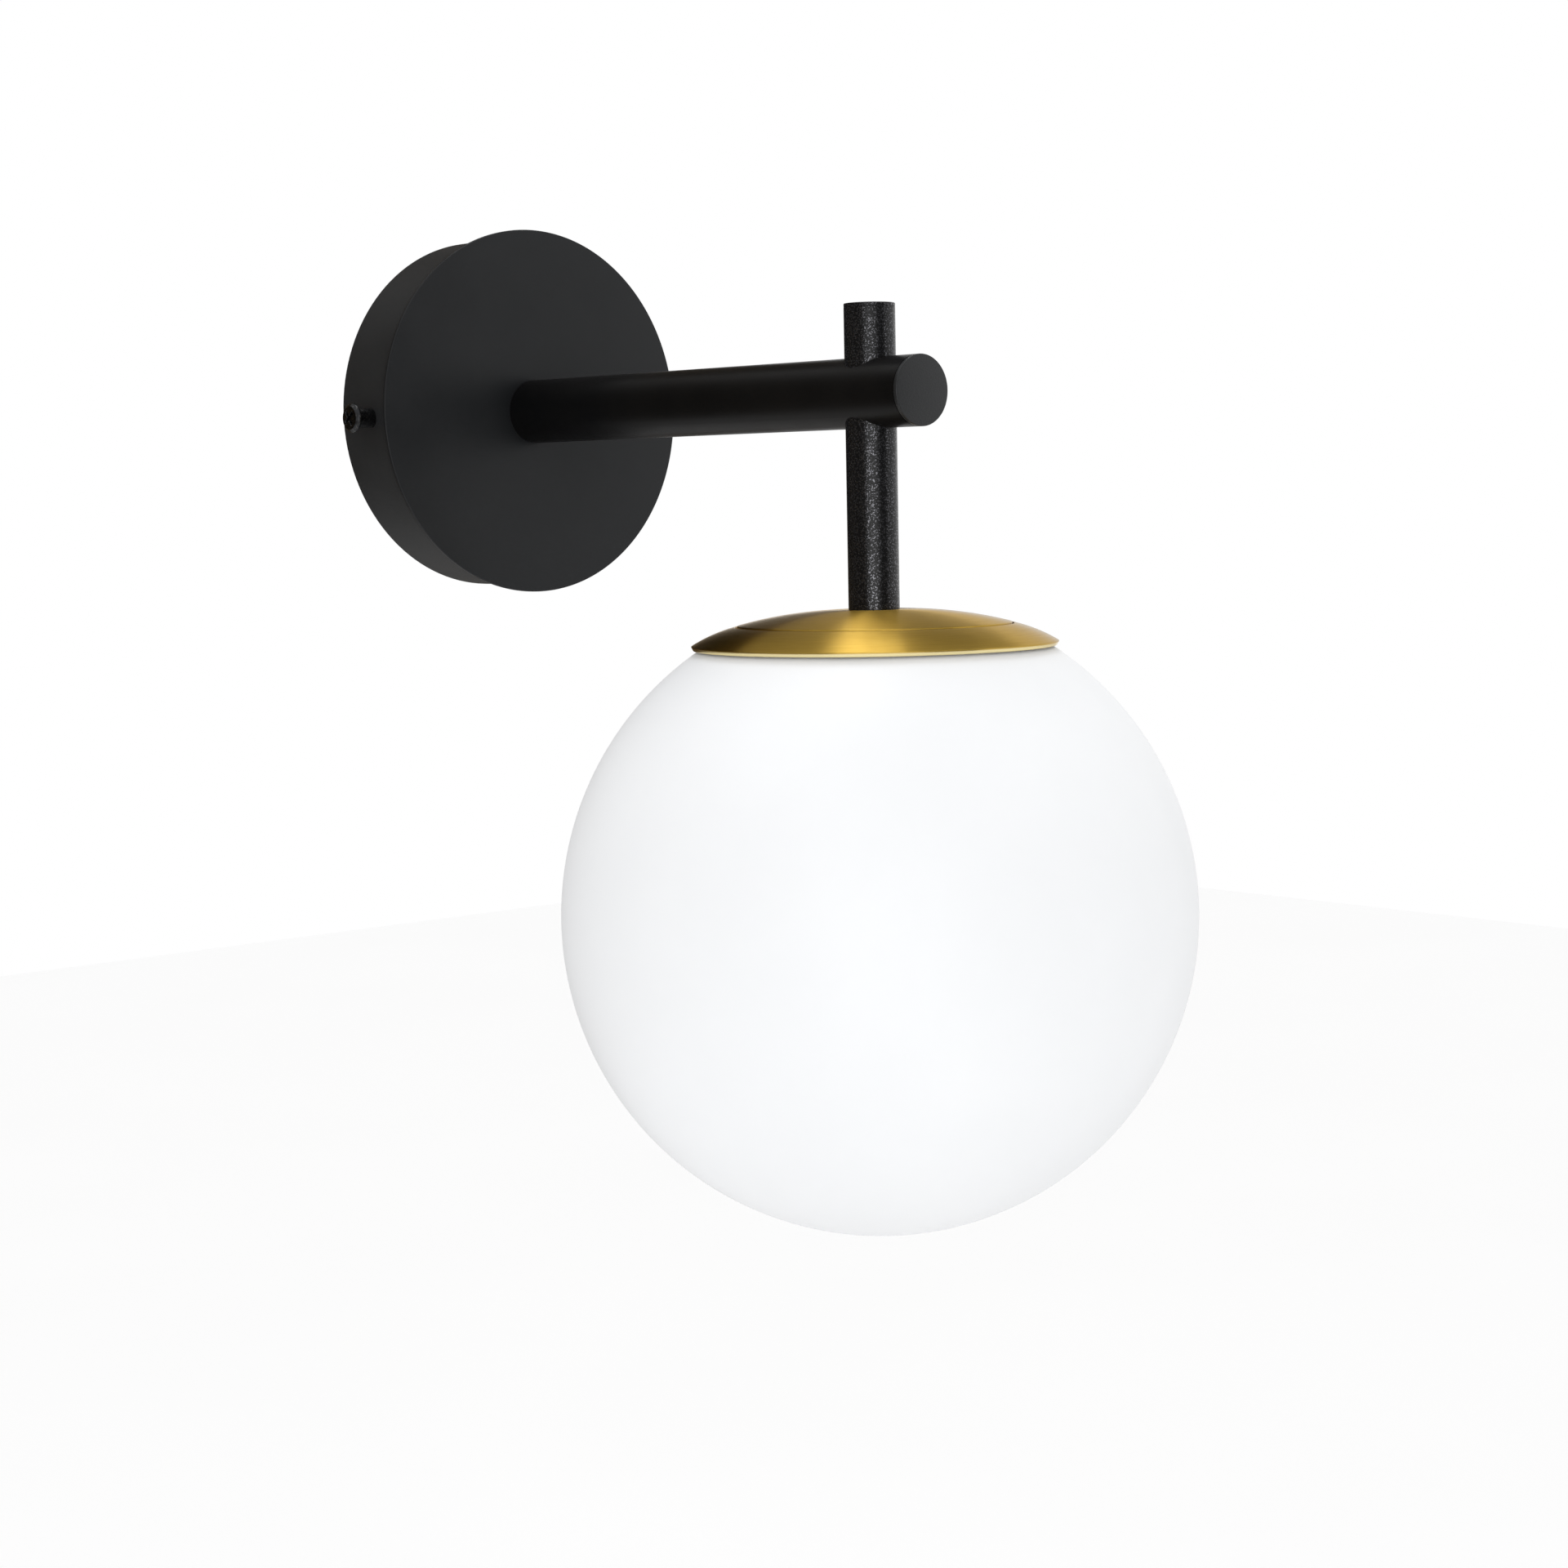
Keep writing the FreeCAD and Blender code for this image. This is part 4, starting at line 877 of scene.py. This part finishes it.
def insulated(name, route, reference, material):
    """Round wire along a route. Its side is square to the route and to a reference direction.

    Its attribute stripe is the cosine of twice the angle round the wire plus a slow twist.
    """
    heading = np.gradient(route, axis=0)
    heading /= np.linalg.norm(heading, axis=1)[:, None]
    side = np.cross(heading, reference)
    side /= np.linalg.norm(side, axis=1)[:, None]
    other = np.cross(heading, side)
    angle = np.linspace(0, 2 * math.pi, wire_sides, endpoint=False)
    section = wire_r * np.stack([np.cos(angle), np.sin(angle)], 1)
    piece = carried(name, route, side, other, section, material)
    run = np.concatenate([[0], np.cumsum(np.linalg.norm(np.diff(route, axis=0), axis=1))])
    stripe = np.cos(2 * angle[None, :] + stripe_twist * run[:, None])
    layer = piece.data.attributes.new("stripe", "FLOAT", "POINT")
    layer.data.foreach_set("value", stripe.astype(np.float32).ravel())
    return piece


def stripes(tree, place, noise):
    """Share of the second colour: 1 where the wire's attribute is above zero."""
    return spread(tree, add(tree, "Attribute", attribute_name="stripe").outputs["Fac"], 0, 1, -0.1, 0.1)


def insulation_finish(name, first, second, pattern=clouds):
    """Soft plastic with a faint sheen, in two tones or two colours."""
    return clouded(name, first, second, shine=(0.38, 0.52), cloud=(0.003, 3), relief=(0.0006,),
                   depth=0.00001, pattern=pattern)


pole_y = disc_high.y + 0.007
clamp_top = cap_low.z + clamp_rise
nipple_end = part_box("head_nipple")[0].z
for name, node, side, pole_x, finish, slot in (
        ("brown_wire", "live_wire", -1, -pole_pitch,
         insulation_finish("brown_insulation", brown, brown_worn), "brown_wire"),
        ("blue_wire", "neutral_wire", 1, 0.0,
         insulation_finish("blue_insulation", blue, blue_worn), "blue_wire")):
    x = side * wire_side
    route = wire_route([
        (pole_x, pole_y, block_low.z + block_inside),
        (pole_x, pole_y, block_low.z - 0.0075),
        (side * entry_x, entry_y, entry_z),
        (x, entry_y, 0.0),
        (x, lamp_axis[1], 0.0),
        (x, lamp_axis[1], nipple_end - 0.0017),
        (side * clamp_x, lamp_axis[1], clamp_top + 0.0032),
        (side * clamp_x, lamp_axis[1], clamp_top - block_inside),
    ], {4: drop_bore_r - 0.00005})
    stand_for(insulated(name, route, (1.0, 0.0, 0.0), finish), node, "lamp")

tag_low, tag_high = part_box("earth_tag")
mouth = np.array([tag_low.x, disc_high.y + 0.0021, (tag_low.z + tag_high.z) / 2])
earth_route = wire_route([
    (pole_pitch, pole_y, block_low.z + block_inside),
    (pole_pitch, pole_y, block_low.z - 0.0065),
    (pole_pitch + 0.0045, mouth[1], mouth[2]),
    tuple(mouth + (block_inside, 0, 0)),
])
stand_for(
    insulated("earth_striped_wire", earth_route, (0.0, 1.0, 0.0),
              insulation_finish("striped_insulation", stripe_green, stripe_yellow, stripes)),
    "earth_wire", "lamp")

# Bulb
# A screw-in bulb: a soldered centre contact on a black glass cone, a rolled nickel-plated
# screw base crimped to a white plastic body, and a frosted plastic diffuser glued on that.

solder_grey = (0.62, 0.63, 0.64)
solder_dull = (0.48, 0.48, 0.49)
nickel = (0.66, 0.65, 0.62)
nickel_dull = (0.52, 0.51, 0.49)
glass_black = (0.012, 0.012, 0.013)
glass_black_pale = (0.022, 0.022, 0.024)
bulb_white = (0.80, 0.80, 0.79)
bulb_shade = (0.72, 0.72, 0.71)
base_wall = 0.0005
base_shoulder = 0.0012
tip_dome = 0.0005


def plain_metal(name, first, second, roughness):
    """Plain metal: two close tones in clouds, with fine grain."""
    return clouded(name, first, second, shine=(roughness - 0.05, roughness + 0.08), cloud=(0.003, 4),
                   relief=(0.0003,), depth=0.00001, metallic=1.0)


solder = plain_metal("solder", solder_grey, solder_dull, 0.38)
bulb_nickel = plain_metal("bulb_nickel", nickel, nickel_dull, 0.26)
cone_glass = moulded_finish("cone_glass", glass_black, glass_black_pale, 0.12, 0.001, 0.000005)
body_plastic = moulded_finish("bulb_plastic", bulb_white, bulb_shade, 0.42, 0.0005, 0.00001)
diffuser_plastic = moulded_finish("diffuser_plastic", bulb_white, bulb_shade, 0.5, 0.0003, 0.00002)

tip_low, tip_high, tip_r = span("bulb_tip")
tip_turn = np.linspace(math.pi / 2, 0, 12)[:, None]
tip_outline = np.vstack([
    [(0, tip_low.z), (tip_r, tip_low.z)],
    np.hstack([tip_r * np.sin(tip_turn), tip_high.z - tip_dome * (1 - np.cos(tip_turn)) * 2]),
])
round_lamp_axis("bulb_tip", "bulb_contact", "bulb_contact_tip",
                rounded(tip_outline, 0.0002, 3), solder, 72)

cone_low, cone_high, cone_r = span("bulb_insulator")
cone_share = np.linspace(0, 1, 14)[:, None]
cone_radius = tip_r + (cone_r - tip_r) * cone_share ** 1.15
cone_height = cone_high.z + (cone_low.z - cone_high.z) * cone_share
cone_outline = rounded(np.vstack([
    [(0, cone_high.z)], np.hstack([cone_radius, cone_height]), [(0, cone_low.z)],
]), 0.0003, 3)
round_lamp_axis("bulb_insulator", "bulb", "bulb_glass_cone", cone_outline, cone_glass, 96)

base_low, base_high, base_r = span("bulb_screw_base")
base_z = np.linspace(base_high.z - base_shoulder, base_low.z, 110)
base_inner_z = base_high.z - base_wall - base_shoulder
base_outline = np.vstack([
    [(0, base_high.z), (cone_r * 0.5, base_high.z), (cone_r, base_high.z)],
    upright(base_r, base_z),
    upright(base_r - base_wall, base_z[::-1]),
    [(cone_r * 0.5, base_inner_z), (0, base_inner_z)],
])
base_thread = thread(
    lamp_thread_pitch, lamp_thread_depth, base_low.z + 0.002, base_high.z + 0.0005, cone_r * 1.02)
round_lamp_axis("bulb_screw_base", "bulb", "bulb_screw_cap", base_outline, bulb_nickel,
                120, base_thread)
dress(body_plastic, "bulb_body")
dress(diffuser_plastic, "bulb_diffuser")

# Skirt and gasket
# The loose outer half of the cap: spun brushed brass whose polished lip turns down round the
# globe; the lip's paler colour is a painted highlight. Its collar stands on a soft rubber ring
# that lies on the globe's shoulder.

skirt_t = 0.001
seam_gap = 0.0006
skirt_bulge = 0.0006
skirt_drop = 0.0105
lip_r = 0.0568
lip_drop = 0.0013
lip_edge_t = 0.0004
polish_highlight_drop = 0.0001
skirt_edge_r = 0.0003
rubber_grey = (0.30, 0.30, 0.30)
rubber_pale = (0.38, 0.38, 0.37)

skirt_low, skirt_high, skirt_r = span("brass_skirt")
collar_r = dome_r + seam_gap
skirt_top = skirt_high.z
rim_z = dome_top - skirt_drop
lip_z = rim_z - lip_drop
collar_foot = skirt_low.z


def bulged(start, end, bulge):
    """Points from start to end, set off square to that run by 4t(1 - t) of the bulge."""
    start = np.array(start)
    end = np.array(end)
    run = end - start
    square = np.array([-run[1], run[0]]) / np.linalg.norm(run)
    t = np.linspace(0, 1, 18)[:, None]
    return start + run * t + square * bulge * 4 * t * (1 - t)


cover = bulged((collar_r, skirt_top), (skirt_r, rim_z), skirt_bulge)
underside = bulged((collar_r + skirt_t, skirt_top - skirt_t),
                   (skirt_r - skirt_t, rim_z - skirt_t / 2), skirt_bulge)
skirt_outline = rounded(np.vstack([
    [(collar_r, collar_foot)], cover, [(lip_r, lip_z), (lip_r - lip_edge_t, lip_z)], underside[::-1],
    [(collar_r + skirt_t, collar_foot)],
]), skirt_edge_r, 5)
# The lip's paler colour below this height is a painted highlight; its lower roughness is real polish.
lipped_brass = brushed_brass_finish("lipped_brass", rim_z - polish_highlight_drop)
round_lamp_axis("brass_skirt", "skirt", "cap_skirt", skirt_outline, lipped_brass, 288)

rubber = moulded_finish("gasket_rubber", rubber_grey, rubber_pale, 0.7, 0.0004, 0.00002)
ring_low, ring_high, ring_r = span("skirt_gasket")
ring_outline = rounded([
    (collar_r, ring_high.z), (ring_r, ring_high.z), (ring_r, ring_low.z), (collar_r, ring_low.z),
], 0.0003, 4)
round_lamp_axis("skirt_gasket", "skirt", "gasket_ring", ring_outline, rubber, 192)

# Globe
# Opal glass blown in a mould and etched satin: a ball with a flat shoulder and a short neck
# whose moulded thread turns in the dome's rim. Its lip is melted round at the torch.

opal_white = (0.90, 0.91, 0.925)
opal_shade = (0.875, 0.885, 0.90)
glass_t = 0.0025
neck_wall = 0.0032
neck_height = 0.0056
neck_play = 0.0003
neck_near = 0.0002
shoulder_r = 0.0548
globe_pitch = 0.004
globe_groove = 0.0006
globe_edge_r = 0.001


def opal_finish():
    """Satin opal glass: almost even white with a faint cloud, soft inside, and a fine etch."""
    material = clouded("opal_glass", opal_white, opal_shade, shine=(0.46, 0.54), cloud=(0.05, 3),
                       relief=(0.0008, 3), depth=0.000012, centre=lamp_axis)
    inputs = material.node_tree.nodes["Principled BSDF"].inputs
    inputs["Subsurface Weight"].default_value = 0.25
    inputs["Subsurface Radius"].default_value = (1.0, 1.0, 1.0)
    inputs["Subsurface Scale"].default_value = 0.003
    return material


opal = opal_finish()
globe_low, globe_high, globe_r = span("globe_glass")
neck_top = globe_high.z
shoulder_z = neck_top - neck_height
neck_r = dome_r - brass_t - neck_play

# The shoulder lies on an ellipse whose foot is the globe's lowest point, so half its height is
# the drop from the shoulder over one plus the root of one less the width share squared.
half_height = (shoulder_z - globe_low.z) / (1 + math.sqrt(1 - (shoulder_r / globe_r) ** 2))
centre_z = globe_low.z + half_height


def ball(inset, top_z):
    """Ellipse from its crossing with a height down to its foot, drawn in by an inset."""
    height = half_height - inset
    angle = np.linspace(math.acos((top_z - centre_z) / height), math.pi, 120)[:, None]
    radius = (globe_r - inset) * np.sin(angle)
    radius[-1] = 0
    return np.hstack([radius, centre_z + height * np.cos(angle)])


globe_outline = rounded(np.vstack([
    ball(0, shoulder_z)[::-1],
    upright(neck_r, np.linspace(shoulder_z, neck_top, 26)),
    [(neck_r - neck_wall, neck_top), (neck_r - neck_wall, shoulder_z - glass_t)],
    ball(glass_t, shoulder_z - glass_t),
]), globe_edge_r, 6)
globe_thread = thread(
    globe_pitch, globe_groove, shoulder_z + globe_groove, neck_top - globe_groove, neck_r - neck_near)
round_lamp_axis("globe_glass", "globe", "glass_globe", globe_outline, opal, 320, globe_thread)

# Studio
# A pale floor far below, a white sky, a soft box behind the camera and a small lamp above the
# cap. Cards out of the picture, brown behind on the left and black on the right and overhead,
# give the metal something dark to reflect.

floor_z = -1.2
floor_half = 6.0
floor_white = (0.97, 0.97, 0.97)
floor_shade = (0.95, 0.95, 0.95)
floor_glow = 0.12
card_black = (0.02, 0.02, 0.02)
card_black_pale = (0.03, 0.03, 0.03)
card_brown = (0.060, 0.038, 0.013)
card_brown_pale = (0.070, 0.044, 0.016)
sky_light = 1.04
sky_light_above = 0.80
lamp_width = 1.0
lamp_height = 0.5
lamp_power = 3.45
lamp_place = (-0.98, -1.20, -0.20)
lamp_aim = (0.0, -0.203, -0.10)
rim_width = 0.36
rim_length = 0.5
rim_power = 3.3
rim_place = (0.199, 0.060, 1.08)
card_r = 1.5
card_steps = 60
card_low = -0.95
card_high = 1.25
card_far_high = 0.60
card_start = math.radians(54)
card_knee = math.radians(110)
card_end = math.radians(200)
front_card_start = math.radians(258)
front_card_end = math.radians(296)
top_card_place = (0.80, 0.55, 1.25)
top_card_r = 0.95
camera_place = (-0.636508, -0.881364, -0.031191)
camera_yaw = math.radians(41.377)
camera_pitch = math.radians(-5.537)
camera_roll = math.radians(-1.109)
camera_lens = 68.303
camera_sensor = 36.0

floor_corners = np.array([(-1, -1, 0), (1, -1, 0), (1, 1, 0), (-1, 1, 0)], float)
floor_points = floor_corners * floor_half + (0, 0, floor_z)
floor_finish, floor_tree, floor_shader = new_finish("pale_floor", 0.0, 0.9, 0.1)
floor_cloud = grain(floor_tree, object_place(floor_tree), 0.5, 3)
floor_tree.links.new(
    blend_colours(floor_tree, floor_cloud, floor_white, floor_shade), floor_shader.inputs["Base Color"])
seen = add(floor_tree, "LightPath").outputs["Is Camera Ray"]
floor_shader.inputs["Emission Color"].default_value = (1, 1, 1, 1)
floor_tree.links.new(
    worked_out(floor_tree, "MULTIPLY", seen, floor_glow), floor_shader.inputs["Emission Strength"])
floor = add_mesh("studio_floor", floor_points, [(0, 1, 2, 3)], floor_finish)
floor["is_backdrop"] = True

world = bpy.data.worlds.new("studio_sky")
bpy.context.scene.world = world
world.use_nodes = True
sky_tree = world.node_tree
sky_tree.nodes.clear()
path = add(sky_tree, "LightPath").outputs
straight = worked_out(sky_tree, "MAXIMUM", path["Is Camera Ray"], path["Is Glossy Ray"])
straight = worked_out(sky_tree, "MAXIMUM", straight, path["Is Transmission Ray"])
way = add(sky_tree, "SeparateXYZ", [(0, add(sky_tree, "TexCoord").outputs["Generated"])])
dimmed = spread(sky_tree, way.outputs["Z"], sky_light, sky_light_above, 0, 1)
level = spread(sky_tree, straight, dimmed, 1.0, 0, 1)
sky = add(sky_tree, "Background", [("Color", (1, 1, 1, 1)), ("Strength", level)])
add(sky_tree, "OutputWorld", [("Surface", sky.outputs[0])])


def soft_lamp(name, width, height, power, place):
    """Lamp with an even face, aimed at the part and out of the camera's sight."""
    light = bpy.data.lights.new(name, "AREA")
    light.shape = "RECTANGLE"
    light.size = width
    light.size_y = height
    light.energy = power
    lamp = bpy.data.objects.new(name, light)
    bpy.context.scene.collection.objects.link(lamp)
    back = np.array(place) - np.array(lamp_aim)
    lamp.location = place
    lamp.rotation_euler = (
        math.acos(back[2] / np.linalg.norm(back)), 0, math.atan2(back[1], back[0]) + math.pi / 2)
    lamp.visible_camera = False


soft_lamp("soft_box", lamp_width, lamp_height, lamp_power, lamp_place)
soft_lamp("rim_lamp", rim_width, rim_length, rim_power, rim_place)

black_card = moulded_finish("black_card", card_black, card_black_pale, 0.9, 0.002, 0.0001)
brown_card = moulded_finish("brown_card", card_brown, card_brown_pale, 0.9, 0.002, 0.0001)


def screen(start, knee, end, high, far_high):
    """Curved screen round the lamp axis, whose top goes evenly from high to far_high after the knee."""
    angle = np.linspace(start, end, card_steps)[:, None]
    height = np.hstack([np.full_like(angle, card_low), np.interp(angle, [knee, end], [high, far_high])])
    return np.stack(np.broadcast_arrays(
        card_r * np.cos(angle), lamp_axis[1] + card_r * np.sin(angle), height), 2)


side_points = screen(card_start, card_knee, card_end, card_high, card_far_high)
front_points = screen(front_card_start, front_card_start, front_card_end, card_far_high, card_far_high)
top_points = turned_points(
    np.array([(tiny, 0.0), (top_card_r, 0.0)]), top_card_place, (0, 0, 1), 2 * card_steps)
screen_faces = grid_faces(card_steps, 2, False, False)
for name, points, faces, finish in (
        ("side_card", side_points, screen_faces, brown_card),
        ("front_card", front_points, screen_faces, black_card),
        ("top_card", top_points, grid_faces(2, 2 * card_steps, False), black_card)):
    card = add_mesh(name, points, faces, finish)
    card.visible_camera = False
    card.visible_diffuse = False
    card.visible_shadow = False
    card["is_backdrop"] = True

camera_data = bpy.data.cameras.new("camera")
camera_data.lens = camera_lens
camera_data.sensor_width = camera_sensor
camera_data.clip_start = 0.01
camera_data.clip_end = 50.0
camera = bpy.data.objects.new("camera", camera_data)
bpy.context.scene.collection.objects.link(camera)
camera.location = camera_place
turn = Euler((math.pi / 2 + camera_pitch, 0, -camera_yaw)).to_matrix() @ Matrix.Rotation(camera_roll, 3, "Z")
camera.rotation_euler = turn.to_euler()
bpy.context.scene.camera = camera
bpy.context.scene.view_settings.view_transform = "Standard"

low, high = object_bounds()
